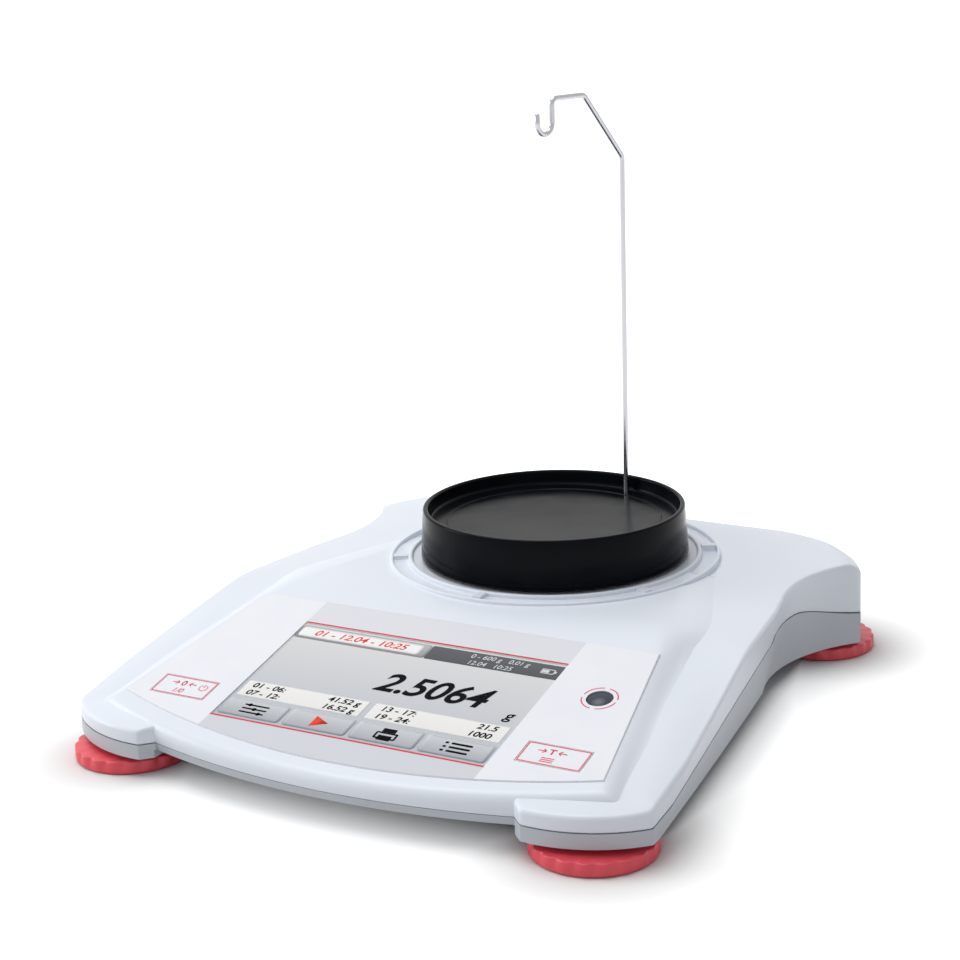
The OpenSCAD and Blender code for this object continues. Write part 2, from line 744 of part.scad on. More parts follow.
// Levelling wheel: scalloped disc, threaded stud above, pocket and pivot for the pad below
module foot_knob(i) {
  scallop_r = 3.4;
  color(coral) translate([feet[i][0], feet[i][1], 0]) difference() {
    union() {
      translate([0, 0, knob_z]) linear_extrude(knob_t) difference() {
        circle(r = knob_r, $fn = 120);
        for (k = [0:scallop_n - 1]) rotate((k + 0.5) * 360 / scallop_n)
          translate([knob_r + scallop_r - 0.6, 0]) circle(r = scallop_r, $fn = 32);
      }
      rod(stud_d / 2, knob_z, floor_z + 5.6 - knob_z);
    }
    rod(pad_r + slack, knob_z - 1, pad_t + 1.2 - knob_z);
    rod(2.5 + running, 0, knob_z + knob_t - 0.6);
  }
}

module foot_pad(i) {
  color("#3a3a3d") translate([feet[i][0], feet[i][1], 0]) {
    rod(pad_r, 0, pad_t);
    rod(2.5, 0, knob_z + knob_t - 0.8);
  }
}

module foot_knob_front_left() { foot_knob(0); }
module foot_knob_front_right() { foot_knob(1); }
module foot_knob_rear_left() { foot_knob(2); }
module foot_knob_rear_right() { foot_knob(3); }
module foot_pad_front_left() { foot_pad(0); }
module foot_pad_front_right() { foot_pad(1); }
module foot_pad_rear_left() { foot_pad(2); }
module foot_pad_rear_right() { foot_pad(3); }

function battery_y(k) = bay_y + (k - (battery_n - 1) / 2) * (cell_d + 0.4);

module battery_cells() {
  color("#3f434a") for (k = [0:battery_n - 1]) translate([bay_x, battery_y(k), cell_z])
    rotate([0, k % 2 == 0 ? 90 : -90, 0]) {
      translate([0, 0, -battery_len / 2]) cylinder(d = cell_d, h = battery_len - 1);
      translate([0, 0, battery_len / 2 - 1]) cylinder(d = 5.2, h = 1);
    }
}

module battery_contacts() {
  leaf = (bay_l - battery_len) / 2 - 0.1;
  color(steel) for (k = [0:battery_n - 1]) for (s = [-1, 1])
    translate([bay_x + s * (bay_l / 2 - leaf / 2), battery_y(k), cell_z]) cube([leaf, 9, 9], center = true);
}

module battery_cover() {
  w = bay_l + 2 * 2.4;
  h = bay_w + 2 * 2.4;
  color(grey) difference() {
    union() {
      block([bay_x - w / 2, bay_y - h / 2, w, h], cover_z, cover_t);
      block([bay_x - w / 2 - tab, bay_y - h / 2, w + 2 * tab, h], cover_z + 0.8, cover_t - 0.8);
    }
    for (k = [0:4]) block([bay_x - 9, bay_y - h / 2 + 6 + k * 2.4, 18, 1], cover_z - 1, 1.6);
  }
}

// Quarter-turn lock: coin-slotted disc below, shaft and cam bar under the free end of the cell
module transport_lock() {
  color(coral) translate([0, lock_y, 0]) difference() {
    union() {
      rod(lock_r, lock_z, lock_t);
      rod(4, lock_z, plate_top + 1.4 - lock_z);
      translate([-6.5, -2.5, plate_top + 0.2]) cube([13, 5, 1.2]);
    }
    translate([-7, -0.9, lock_z - 1]) cube([14, 1.8, 2]);
  }
}

module dc_jack() {
  depth = 13;
  color("#1c1d20") difference() {
    translate([jack_x - 4.5, rear_y - wall - depth, base_z]) cube([9, depth, 6.6]);
    translate([jack_x, rear_y, jack_z]) rotate([90, 0, 0]) difference() {
      cylinder(r = jack_r, h = wall + depth - 2);
      cylinder(r = 0.95, h = wall + depth);
    }
  }
}

module port_cover() {
  color(grey) {
    translate([port_x - port_w / 2 + slack, rear_y - wall - 0.1, port_z - port_h / 2 + slack])
      cube([port_w - 2 * slack, wall - 0.2, port_h - 2 * slack]);
    translate([port_x - port_w / 2 - 1.5, rear_y - wall - 1.2, port_z - port_h / 2 - 1.5])
      cube([port_w + 3, 1.1, port_h + 3]);
  }
}

module housing_screws() {
  color(steel) for (p = screw_spots) translate([p[0], p[1], 0]) {
    rod(3, screw_seat - 2.3, 2.3);
    rod(1.25, screw_seat - 2.3, 6.8);
  }
}

module board_screws() {
  color(steel) for (p = board_spots) on_panel(p[0], p[1]) {
    rod(2, -board_drop - pcb_t - 1.2, 1.2);
    rod(0.95, -board_drop - pcb_t - 1.2, pcb_t + 4);
  }
}

upper_housing();
lower_housing();
front_overlay();
display_window();
display_module();
display_board();
zero_key();
tare_key();
key_domes();
level_body();
level_window();
main_board();
load_cell();
cell_plate();
cell_spacers();
cell_screws();
pan_support();
dish();
hook();
foot_inserts();
foot_knob_front_left();
foot_knob_front_right();
foot_knob_rear_left();
foot_knob_rear_right();
foot_pad_front_left();
foot_pad_front_right();
foot_pad_rear_left();
foot_pad_rear_right();
battery_cells();
battery_contacts();
battery_cover();
transport_lock();
dc_jack();
port_cover();
housing_screws();
board_screws();
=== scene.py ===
import math

import bmesh
import bpy
import numpy as np
from mathutils import Matrix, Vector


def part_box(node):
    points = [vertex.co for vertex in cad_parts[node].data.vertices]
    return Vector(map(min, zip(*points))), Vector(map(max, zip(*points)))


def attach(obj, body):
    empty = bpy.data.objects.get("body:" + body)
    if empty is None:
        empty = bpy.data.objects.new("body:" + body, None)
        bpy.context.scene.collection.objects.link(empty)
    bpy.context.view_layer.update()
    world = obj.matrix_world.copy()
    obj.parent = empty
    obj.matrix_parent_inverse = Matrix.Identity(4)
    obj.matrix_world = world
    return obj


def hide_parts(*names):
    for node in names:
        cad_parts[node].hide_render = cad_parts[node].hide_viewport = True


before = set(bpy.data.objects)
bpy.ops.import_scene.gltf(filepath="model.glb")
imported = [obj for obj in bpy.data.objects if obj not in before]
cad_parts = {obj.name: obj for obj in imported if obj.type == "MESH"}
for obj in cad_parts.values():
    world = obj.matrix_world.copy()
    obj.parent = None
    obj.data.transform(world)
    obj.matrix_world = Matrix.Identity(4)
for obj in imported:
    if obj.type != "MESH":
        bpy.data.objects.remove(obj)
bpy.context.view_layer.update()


# Lower housing
# Grey moulded tray that carries everything else, with a textured satin surface.
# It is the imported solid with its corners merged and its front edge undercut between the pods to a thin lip.

def srgb(red, green, blue):
    """Linear colour of an 8 bit screen colour: the sRGB curve undone channel by channel."""
    c = np.array([red, green, blue]) / 255.0
    linear = np.where(c <= 0.04045, c / 12.92, ((c + 0.055) / 1.055) ** 2.4)
    return (*linear.tolist(), 1.0)


def new_finish(name):
    """An empty material: its node tree, its shader and a node of Object coordinates in metres."""
    material = bpy.data.materials.new(name)
    material.use_nodes = True
    tree = material.node_tree
    shader = tree.nodes["Principled BSDF"]
    coords = tree.nodes.new("ShaderNodeTexCoord")
    return material, tree, shader, coords.outputs["Object"]


def noise(tree, vector, scale, detail=2.0):
    """Factor of a noise pattern with so many cells in a metre."""
    node = tree.nodes.new("ShaderNodeTexNoise")
    node.inputs["Scale"].default_value = scale
    node.inputs["Detail"].default_value = detail
    tree.links.new(vector, node.inputs["Vector"])
    return node.outputs["Fac"]


def spread(tree, factor, low, high, at=(0.3, 0.7)):
    """Maps a factor to a run of two colours or greys, held flat outside the two stops."""
    node = tree.nodes.new("ShaderNodeValToRGB")
    for stop, place, value in zip(node.color_ramp.elements, at, (low, high)):
        stop.position = place
        stop.color = value if isinstance(value, tuple) else (value, value, value, 1.0)
    tree.links.new(factor, node.inputs["Fac"])
    return node.outputs["Color"]


def feed(tree, shader, socket, *run):
    """Feeds a socket of the shader with a run of colours or greys, as spread makes it."""
    tree.links.new(spread(tree, *run), shader.inputs[socket])


def grain(tree, shader, factor, strength, depth):
    """Raises a pattern as a bump of a real depth in metres."""
    node = tree.nodes.new("ShaderNodeBump")
    node.inputs["Strength"].default_value = strength
    node.inputs["Distance"].default_value = depth
    tree.links.new(factor, node.inputs["Height"])
    tree.links.new(node.outputs["Normal"], shader.inputs["Normal"])


def tinted(colour, change):
    """The same colour a share lighter or darker."""
    return tuple(min(1.0, c * (1 + change)) for c in colour[:3]) + (1.0,)


def moulded_plastic(name, colour, rough, cells=2600.0, depth=0.00002, drift=0.035):
    """Moulded plastic: fine spark texture as bump, slow drift of shade, gloss that varies a little."""
    material, tree, shader, place = new_finish(name)
    slow = noise(tree, place, 28.0, 3.0)
    fine = noise(tree, place, cells)
    feed(tree, shader, "Base Color", slow, tinted(colour, -drift), tinted(colour, drift))
    feed(tree, shader, "Roughness", fine, rough - 0.05, rough + 0.05)
    grain(tree, shader, fine, 0.25, depth)
    return material


MM = 0.001
seam, merge = 1e-7, 1e-6


def put(name, data):
    """A new object at the origin of the scene."""
    piece = bpy.data.objects.new(name, data)
    bpy.context.scene.collection.objects.link(piece)
    return piece


def as_made(piece):
    """New mesh of an object as its text or its modifiers make it."""
    return bpy.data.meshes.new_from_object(piece.evaluated_get(bpy.context.evaluated_depsgraph_get()))


def shade_smooth(edit, crease):
    """Smooth faces, with sharp edges where two of them turn by more than the crease, in degrees."""
    for face in edit.faces:
        face.smooth = True
    for edge in edit.edges:
        edge.smooth = edge.calc_face_angle(0.0) < math.radians(crease)


def lay_mesh(name, grids, material, opening=None, crease=180.0):
    """A piece from grids of points in millimetres; rows by columns, columns closed where wrap is set.

    Quads whose middle lies in the opening, a test of their x, y and z, are left out.
    """
    points = []
    quads = []
    start = 0
    for grid, wrap in grids:
        rows, columns = grid.shape[:2]
        index = np.arange(rows * columns).reshape(rows, columns) + start
        across = np.concatenate([index, index[:, :1]], axis=1) if wrap else index
        corners = (across[:-1, :-1], across[:-1, 1:], across[1:, 1:], across[1:, :-1])
        quads.append(np.stack(corners, axis=-1).reshape(-1, 4))
        points.append(grid.reshape(-1, 3))
        start += rows * columns
    points, quads = np.concatenate(points), np.concatenate(quads)
    if opening is not None:
        quads = quads[~opening(*points[quads].mean(axis=1).T)]
    mesh = bpy.data.meshes.new(name)
    mesh.from_pydata((points * MM).tolist(), [], quads.tolist())
    edit = bmesh.new()
    edit.from_mesh(mesh)
    bmesh.ops.remove_doubles(edit, verts=edit.verts, dist=seam)
    bmesh.ops.dissolve_degenerate(edit, edges=edit.edges, dist=seam)
    shade_smooth(edit, crease)
    edit.to_mesh(mesh)
    edit.free()
    mesh.materials.append(material)
    return put(name, mesh)


def node_copy(name, node, cutter, material, crease=28.0):
    """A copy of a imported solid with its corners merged, less a cutter."""
    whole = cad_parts[node].data.copy()
    edit = bmesh.new()
    edit.from_mesh(whole)
    bmesh.ops.remove_doubles(edit, verts=edit.verts, dist=merge)
    edit.to_mesh(whole)
    piece = put(name, whole)
    cut = piece.modifiers.new("cut", "BOOLEAN")
    cut.object = cutter
    cut.solver = "EXACT"
    piece.data = as_made(piece)
    piece.modifiers.remove(cut)
    bpy.data.objects.remove(cutter)
    bpy.data.meshes.remove(whole)
    edit.clear()
    edit.from_mesh(piece.data)
    shade_smooth(edit, crease)
    edit.to_mesh(piece.data)
    edit.free()
    piece.data.name = name
    piece.data.materials.clear()
    piece.data.materials.append(material)
    return piece


def stand_in(piece, body, node):
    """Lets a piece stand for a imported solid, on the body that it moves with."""
    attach(piece, body)
    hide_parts(node)


grey_shell = moulded_plastic("grey_shell_moulding", srgb(190, 196, 204), 0.48)
front_y, panel_y, panel_z, panel_slope = -112.3, -94.2, 19.3, math.radians(12.87)
skirt_v, skirt_r, pod_inner = 218.47, 238.0, 62.5
lip_z, lip_in, lip_out, lip_past, lip_n = 8.1, 8.0, 3.0, 0.4, 60
base_z, base_under = 5.8, 2.0
lip_u = np.linspace(-pod_inner - lip_past, pod_inner + lip_past, lip_n)
lip_v = skirt_v - np.sqrt(skirt_r ** 2 - lip_u ** 2)
lip_drop = (panel_z + lip_v * math.sin(panel_slope) - lip_z) / math.cos(panel_slope)
lip_y = panel_y + lip_v * math.cos(panel_slope) + lip_drop * math.sin(panel_slope)
lip_rise = (lip_z - base_z) * lip_out / lip_in
section = np.array([(-lip_out, base_z - base_under), (lip_in, base_z - base_under), (lip_in, base_z),
                    (-lip_out, lip_z + lip_rise)])
lip_rows = np.broadcast_arrays(lip_u[:, None], lip_y[:, None] + section[:, 0], section[:, 1])
under_lip = np.stack(lip_rows, axis=-1)
ends = under_lip[[0, -1]].mean(axis=1, keepdims=True) + 0 * under_lip[[0, -1]]
lip_cutter = lay_mesh("lip_cutter", [(np.concatenate([ends[:1], under_lip, ends[1:]]), True)], grey_shell)
lower_housing = node_copy("lower_housing_moulding", "lower_housing", lip_cutter, grey_shell)
stand_in(lower_housing, "base", "lower_housing")


# Levelling feet
# Four coral wheels on studs, each with finger scallops round a rounded rim, turning in brass inserts.
# The wheel is one lathe turned profile whose rim rows are pushed in at the scallops.

def bezier(a, b, c, count, weight=1.0):
    """Curve from a to c along the lines through b, an arc where the weight is the cosine of half its turn."""
    a, b, c = (np.asarray(p, float) for p in (a, b, c))
    s = np.linspace(0, 1, count).reshape(-1, *[1] * a.ndim)
    pull = 2 * s * (1 - s) * weight
    return ((1 - s) ** 2 * a + pull * b + s ** 2 * c) / ((1 - s) ** 2 + pull + s ** 2)


def rounded(profile, steps=5):
    """A profile of (radius, height, rounding) corners with each corner turned into an arc of its rounding."""
    corners = np.array(profile, dtype=float)
    out = [corners[0, :2]]
    for before, (*here, radius), after in zip(corners[:-2, :2], corners[1:-1], corners[2:, :2]):
        if radius == 0:
            out.append(here)
            continue
        back, ahead = ((p - here) / np.hypot(*(p - here)) for p in (before, after))
        half = math.acos(np.clip(back @ ahead, -1, 1)) / 2
        run = radius / math.tan(half)
        out.extend(bezier(here + back * run, here, here + ahead * run, steps, math.sin(half)))
    out.append(corners[-1, :2])
    return np.array(out)


def turned(profile, centre, columns, push=None):
    """A profile of (radius, height) turned about an upright axis; push adds to its radii by angle."""
    angle = np.arange(columns) * 2 * math.pi / columns
    radius = profile[:, :1] + (0 * angle if push is None else push(angle[None, :], profile))
    return np.stack([centre[0] + radius * np.cos(angle), centre[1] + radius * np.sin(angle),
                     np.broadcast_to(profile[:, 1:2], radius.shape)], axis=-1)


def box_mm(node):
    """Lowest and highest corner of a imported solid, in millimetres."""
    return np.array(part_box(node)) / MM


scallop_count, scallop_depth, valley_soft = 20, 1.5, 0.45
rim_low, rim_drop, rim_in, rim_full, wheel_h = 0.3, 0.7, 1.6, 0.2, 4.2
stud_r, spigot_r, spigot_gap, pocket_r, pocket_z = 4.0, 2.56, 0.6, 13.3, 1.95
pad_t, pin_r, groove_in, groove_out, groove_z = 1.4, 2.5, 4.0, 3.0, 0.25
wheel_n, pad_n = 400, 96
coral_plastic = moulded_plastic("coral_moulding", srgb(232, 76, 90), 0.36, drift=0.05)
rubber = moulded_plastic("black_rubber", srgb(44, 44, 47), 0.8, cells=900.0, depth=0.00005)
brass = moulded_plastic("turned_brass", srgb(199, 165, 90), 0.35, cells=4000.0)
brass.node_tree.nodes["Principled BSDF"].inputs["Metallic"].default_value = 1.0


def scallops(angle, profile):
    """Lobes with soft valleys: a rounded cosine, deepest at the top, fading out inwards and downwards."""
    wave = np.cos(angle * scallop_count / 2) ** 2
    lobe = np.sqrt(wave + valley_soft ** 2) / math.hypot(1, valley_soft)
    rim = np.clip((profile[:, :1] - knob_r + rim_in) / (rim_in - rim_full), 0, 1)
    rise = np.clip((profile[:, 1:] - rim_low) / (knob_top - rim_low), 0, 1)
    return -scallop_depth * (1 - lobe) * rim * rise


for corner in ("front_left", "front_right", "rear_left", "rear_right"):
    low, high = box_mm("foot_knob_" + corner)
    centre = (low + high) / 2
    knob_r = (high[0] - low[0]) / 2
    knob_top, stud_top = low[2] + wheel_h - rim_drop, high[2]
    profile = rounded([
        (0.0, knob_top - spigot_gap, 0), (spigot_r, knob_top - spigot_gap, 0.2), (spigot_r, pocket_z, 0.2),
        (pocket_r, pocket_z, 0.3), (pocket_r, rim_low, 0.3), (knob_r, rim_low, 0.5), (knob_r, knob_top, 0.5),
        (stud_r, knob_top, 0.4), (stud_r, stud_top, 0.5), (0.0, stud_top, 0)])
    rim_grid = turned(profile, centre, wheel_n, scallops)
    wheel = lay_mesh("levelling_wheel_" + corner, [(rim_grid, True)], coral_plastic)
    stand_in(wheel, "foot_knob_" + corner, "foot_knob_" + corner)
    pad_low, pad_high = box_mm("foot_pad_" + corner)
    pad_r = (pad_high[0] - pad_low[0]) / 2
    pad_profile = rounded([
        (0.0, 0.0, 0), (pad_r - groove_in, 0.0, 0.2), (pad_r - groove_in, groove_z, 0.1),
        (pad_r - groove_out, groove_z, 0.1), (pad_r - groove_out, 0.0, 0.2), (pad_r, 0.0, 0.4),
        (pad_r, pad_t, 0.3), (pin_r, pad_t, 0.2), (pin_r, pad_high[2], 0.3), (0.0, pad_high[2], 0)])
    pad = lay_mesh("foot_pad_disc_" + corner, [(turned(pad_profile, centre, pad_n), True)], rubber)
    stand_in(pad, "foot_pad_" + corner, "foot_pad_" + corner)


def dress(material, *nodes):
    """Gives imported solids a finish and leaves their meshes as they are."""
    for node in nodes:
        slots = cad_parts[node].data.materials
        slots.clear()
        slots.append(material)


dress(brass, "foot_inserts")


# Weighing cell, boards, batteries and fasteners
# The works inside: a milled aluminium beam on its plate, steel screws, two green boards and four cells.
# They are the imported solids with machined, etched and moulded finishes.

def machined_metal(name, colour, rough, stretch=(1.0, 1.0, 1.0), cells=1500.0):
    """Bare metal: brushed lines as a stretched noise in gloss and bump."""
    material, tree, shader, place = new_finish(name)
    turn = tree.nodes.new("ShaderNodeMapping")
    turn.inputs["Scale"].default_value = stretch
    tree.links.new(place, turn.inputs["Vector"])
    lines = noise(tree, turn.outputs["Vector"], cells, 3.0)
    shader.inputs["Metallic"].default_value = 1.0
    feed(tree, shader, "Base Color", lines, tinted(colour, -0.08), tinted(colour, 0.06))
    feed(tree, shader, "Roughness", lines, rough - 0.06, rough + 0.08)
    grain(tree, shader, lines, 0.15, 0.00001)
    return material


def etched_board(name):
    """Solder mask over copper: darker green with lighter tracks where a cell pattern has its borders."""
    material, tree, shader, place = new_finish(name)
    cells = tree.nodes.new("ShaderNodeTexVoronoi")
    cells.feature = "DISTANCE_TO_EDGE"
    cells.distance = "EUCLIDEAN"
    cells.inputs["Scale"].default_value = 260.0
    tree.links.new(place, cells.inputs["Vector"])
    distance = cells.outputs["Distance"]
    feed(tree, shader, "Base Color", distance, srgb(58, 132, 88), srgb(28, 84, 54), (0.05, 0.09))
    shader.inputs["Roughness"].default_value = 0.35
    grain(tree, shader, distance, 0.2, 0.00004)
    return material


milled_aluminium = machined_metal("milled_aluminium", srgb(205, 208, 212), 0.34, (1.0, 0.06, 1.0))
black_socket = moulded_plastic("black_socket_moulding", srgb(38, 39, 43), 0.5)
dress(milled_aluminium, "load_cell", "cell_plate", "cell_spacers")
dress(machined_metal("turned_aluminium", srgb(214, 216, 219), 0.3), "pan_support")
dress(machined_metal("screw_steel", srgb(186, 188, 192), 0.3),
      "cell_screws", "housing_screws", "board_screws")
dress(machined_metal("spring_steel", srgb(198, 198, 200), 0.26, (1.0, 1.0, 0.1)),
      "key_domes", "battery_contacts")
dress(etched_board("board_mask"), "main_board", "display_board")
dress(moulded_plastic("battery_sleeve", srgb(66, 70, 78), 0.25, cells=1200.0), "battery_cells")
dress(black_socket, "dc_jack", "display_module", "level_body")


# Upper housing, wings and walls
# White moulding on the tray: wings beside the panel, shoulders behind, walls that lean in to the parting.
# One band of points runs from under the panel out to the edge, over its rounding and down the wall.

ring_low, ring_high = box_mm("dish")
ring_x, ring_y = (ring_low + ring_high)[:2] / 2
rear_y, body_half = 112.3, 100.2
wing_step, shoulder_z, platform_z, pod_top = 3.8, 37.0, 37.2, 15.5
crown_r, rear_fall, rear_round, rear_r = 1500.0, 6.4, 14.0, 42.0
rear_cx, rear_cy = body_half - rear_r + 0.2, rear_y - rear_r
bow_r, bow_y, bow_x, bow_z, wall_lean = 4000.0, front_y - 415.7, body_half + 26.5, 20.0, math.radians(9)
waist_r, waist_in, waist_y, waist_join, clear = 52.7, 13.8, rear_y - 59.8, rear_y - 80, 60.0
waist_back, waist_side, waist_rise = 9.0, 3.3, 29.0
waist_foot = np.array([body_half - waist_in + waist_r - waist_side, waist_y - waist_back, 6.0])
pod_x, pod_y, pod_r, pod_bevel = 69.4, front_y + 45.8, 41.5, 8.2
parting_low, parting_crest, parting_rear, parting_lip = 10.8, 23.0, 15.8, 0.03
climb_y, crest_run = front_y + 18, 36
edge_round, edge_weight, lip_inset = 1.3, 0.72, 0.3
rise_slope, rise_top, rise_from, rise_run = 0.18, 1.5, -60, 50


def ease_min(a, b, k):
    """The smaller of two heights, with the corner between them rounded over a width k."""
    return np.minimum(a, b) - np.maximum(k - np.abs(a - b), 0) ** 2 / (4 * k)


def ease_max(a, b, k):
    """The larger of two heights, with the corner between them rounded over a width k."""
    return -ease_min(-a, -b, k)


def ramp(t):
    """Smooth step from 0 to 1."""
    c = np.clip(t, 0, 1)
    return c * c * (3 - 2 * c)


def panel_plane(y):
    """Height of the sloping panel plane."""
    return panel_z + (y - panel_y) * math.tan(panel_slope)


def bow_depth(x, y, z):
    """Depth of a point inside the bowed side wall, which leans in towards the underside."""
    along = x * math.cos(wall_lean) - (z - bow_z) * math.sin(wall_lean)
    return bow_r - np.hypot(along - bow_x * math.cos(wall_lean) + bow_r, y - bow_y)


def wing_top(x, y):
    """Height of the wings: pods, a slope beside the panel, then crowned and rolling off at the back.

    Pods and slope rise a little from their outer edges towards the panel.
    """
    roll = (rear_round ** 2 + rear_fall ** 2) / (2 * rear_fall)
    out = np.hypot(np.maximum(np.abs(x) - rear_cx, 0), np.maximum(y - rear_cy, 0)) - rear_r + rear_round
    top = ease_max(ease_min(panel_plane(y) - wing_step, shoulder_z, 6.0), pod_top, 1.6)
    crown = shoulder_z - crown_r + np.sqrt(crown_r ** 2 - x ** 2)
    rolled = shoulder_z - roll + np.sqrt(roll ** 2 - np.clip(out, 0, roll * 0.95) ** 2)
    arc = pod_r - np.hypot(np.maximum(np.abs(x) - pod_x, 0), np.minimum(y - pod_y, 0))
    inside = np.maximum(np.minimum(bow_depth(np.abs(x), y, bow_z), arc), 0)
    rise = ease_min(rise_slope * inside, rise_top + 0 * x, 0.8) * (1 - ramp((y - rise_from) / rise_run))
    return ease_min(ease_min(top + rise, crown, 0.8), rolled, 0.8)


def parting(y):
    """Height of the parting line: low in front, climbing to a crest over the waist, lower at the back."""
    t = np.clip((y - climb_y) / (waist_y - climb_y), 0, 1)
    rise = parting_low + (parting_crest - parting_low) * t * (1.5 - 0.5 * t * t)
    fall = parting_crest + (parting_rear - parting_crest) * ramp((y - waist_y) / crest_run)
    return np.where(y < waist_y, rise, fall)


def depth_inside(x, y, z):
    """Depth of a point inside the bowed wall, the leaning waist, the rear corners and the front pod."""
    x = np.abs(x)
    bow = bow_depth(x, y, z)
    back, inward = math.atan2(waist_back, waist_rise), math.atan2(waist_side, waist_rise)
    axis = np.array([math.cos(back) * math.sin(inward), math.sin(back), math.cos(back) * math.cos(inward)])
    rel = np.stack([x, y, z], axis=-1) - waist_foot
    waist = np.linalg.norm(rel - (rel @ axis)[..., None] * axis, axis=-1) - waist_r
    corner = rear_r - np.hypot(np.maximum(x - rear_cx, 0), np.maximum(y - rear_cy, 0))
    flank = np.minimum(np.minimum(bow + clear * ramp((y - waist_join) / 30), body_half - x), corner)
    bevel = (x + y - pod_inner - front_y - pod_bevel) / math.sqrt(2)
    pod = ease_min(pod_r - np.hypot(x - pod_x, y - pod_y), ease_min(bevel, x - pod_inner, 0.4), 0.4)
    return ease_min(ease_min(flank, waist, 2.0), np.where(y < pod_y, pod, clear), 0.7)


port_lap, inner_r = 1.25, 55.5
port_low, port_high = box_mm("port_cover")
port_near, port_far = -(port_high[0] - port_lap), -(port_low[0] + port_lap)
port_sill, port_head = port_low[2] + port_lap, port_high[2] - port_lap
fan = np.array([(65.0, -98.0, -145), (66.5, -98.5, -120), (72, -98, -95), (80, -95, -72), (84, -90, -40),
                (84, -82, -8), (82, -70, 0)], dtype=float)
fan_t = np.linspace(0, 1, 110)
fan_at = np.linspace(0, 1, len(fan))
front_rays = np.stack([np.interp(fan_t, fan_at, fan[:, k]) for k in range(3)], axis=-1)
side_y = np.linspace(-70, ring_y, 90)[1:]
side_x = np.interp(side_y, [-70, 0, 30, ring_y], [82, 72, 62, inner_r])
side_rays = np.stack([side_x, side_y, 0 * side_y], axis=-1)
turn_a = np.linspace(0, math.acos(port_far / inner_r), 90)[1:]
turn_rays = np.stack([inner_r * np.cos(turn_a), ring_y + inner_r * np.sin(turn_a),
                      90 * ramp(turn_a / turn_a[-1]) ** 1.2], axis=-1)
rear_x = np.concatenate([np.linspace(port_far, port_near, 25), np.linspace(port_near, 0, 14)[1:]])[1:]
rear_rays = np.stack([rear_x, ring_y + np.sqrt(inner_r ** 2 - rear_x ** 2), 90 + 0 * rear_x], axis=-1)
rays = np.concatenate([front_rays, side_rays, turn_rays, rear_rays])
start = rays[:, :2]
direction = np.stack([np.cos(np.radians(rays[:, 2])), np.sin(np.radians(rays[:, 2]))], axis=-1)


def on_ray(distance, height):
    """Points at a distance along each ray, at the height that goes with their place."""
    x, y = (start + distance[:, None] * direction).T
    return np.stack([x, y, height(x, y)], axis=-1)


def reach(height):
    """Distance along each ray to the wall, by halving a span that is longer than any ray."""
    low, high = np.zeros(len(rays)), np.full(len(rays), 75.0)
    for _ in range(48):
        middle = (low + high) / 2
        inside = depth_inside(*on_ray(middle, height).T) > 0
        low, high = np.where(inside, middle, low), np.where(inside, high, middle)
    return low


def level(z):
    """A height that each ray keeps all along."""
    return lambda x, y: z


edge = reach(wing_top)
rim = on_ray(edge, wing_top)
top_rows = [on_ray((edge - edge_round) * s, wing_top) for s in np.linspace(0, 1, 16)]
under_edge = level(rim[:, 2] - edge_round)
shoulder = on_ray(reach(under_edge), under_edge)
bend_rows = list(bezier(top_rows[-1], rim, shoulder, 9, edge_weight)[1:-1])
at_back = ramp((rays[:, 2] - 80) / 10)
wall_top = shoulder[:, 2]
wall_end = parting(rim[:, 1]) + parting_lip
head = wall_top + (wall_end - wall_top) * 0.3 * (1 - at_back) + (port_head - wall_top) * at_back
sill = wall_top + (wall_end - wall_top) * 0.8 * (1 - at_back) + (port_sill - wall_top) * at_back
stages = [(wall_top, head, (0, 0.5)), (head, sill, (0, 0.33, 0.67)), (sill, wall_end + 0.35, (0, 0.5, 1))]
levels = [level(a + (b - a) * s) for a, b, shares in stages for s in shares]
wall_rows = [on_ray(reach(z), z) for z in levels]
lip = on_ray(reach(level(wall_end)) - lip_inset, level(wall_end))
half = np.stack(top_rows + bend_rows + wall_rows + [lip])
mirror = np.array([-1, 1, 1])
band = np.concatenate([half, (half[:, ::-1] * mirror)[:, 1:]], axis=1)

white_shell = moulded_plastic("white_shell_moulding", srgb(232, 238, 248), 0.36, drift=0.012)


def port_window(x, y, z):
    """Window of the port cover in the back wall."""
    return (y > rear_y - 3) & (x > -port_far) & (x < -port_near) & (z > port_sill) & (z < port_head)


wings = lay_mesh("upper_housing_wings", [(band[::-1], False)], white_shell, opening=port_window)


def thicken(piece, wall):
    """Gives a skin its wall thickness on the inner side."""
    solid = piece.modifiers.new("wall", "SOLIDIFY")
    solid.thickness = wall * MM
    solid.offset = -1.0
    solid.use_rim = True


thicken(wings, 1.8)
stand_in(wings, "base", "upper_housing")


# Upper housing, raised panel
# The sloping panel, the platform behind it and the bowed skirt in front, all of the same white moulding.
# Its rows are contours of growing depth: the skirt's arc, mitred corners, side steps, the platform's edge.

front_round = 4.0
panel_half, panel_taper = 87.2, math.tan(math.radians(10.9))
corner_x, corner_y, shoulder_taper = 71.5, -8.0, math.tan(math.radians(17.2))
side_slope, shoulder_slope, side_ease = 0.885, math.tan(math.radians(15)), 2.6
side_end, step_reach, mitre = 78.0, 9.0, 1.5
film_r, film_v, film_low, film_low_v, film_high, film_top_v = 238.0, 226.57, 83.5, 4.2, 72.47, 67.65
film_pull = (film_low - film_high) / (film_top_v - film_low_v)
opening_inset, well_r = 5.0, 46.0
step_ease, dive_least, dive_most, dive_at, dive_back, dive_run = 2.2, 0.05, 0.6, 5.8, 3.0, 3.2


def panel_top(x, y):
    """Height of the panel and the platform, with a soft crease between them."""
    return ease_min(panel_plane(y), platform_z + 0 * x, step_ease)


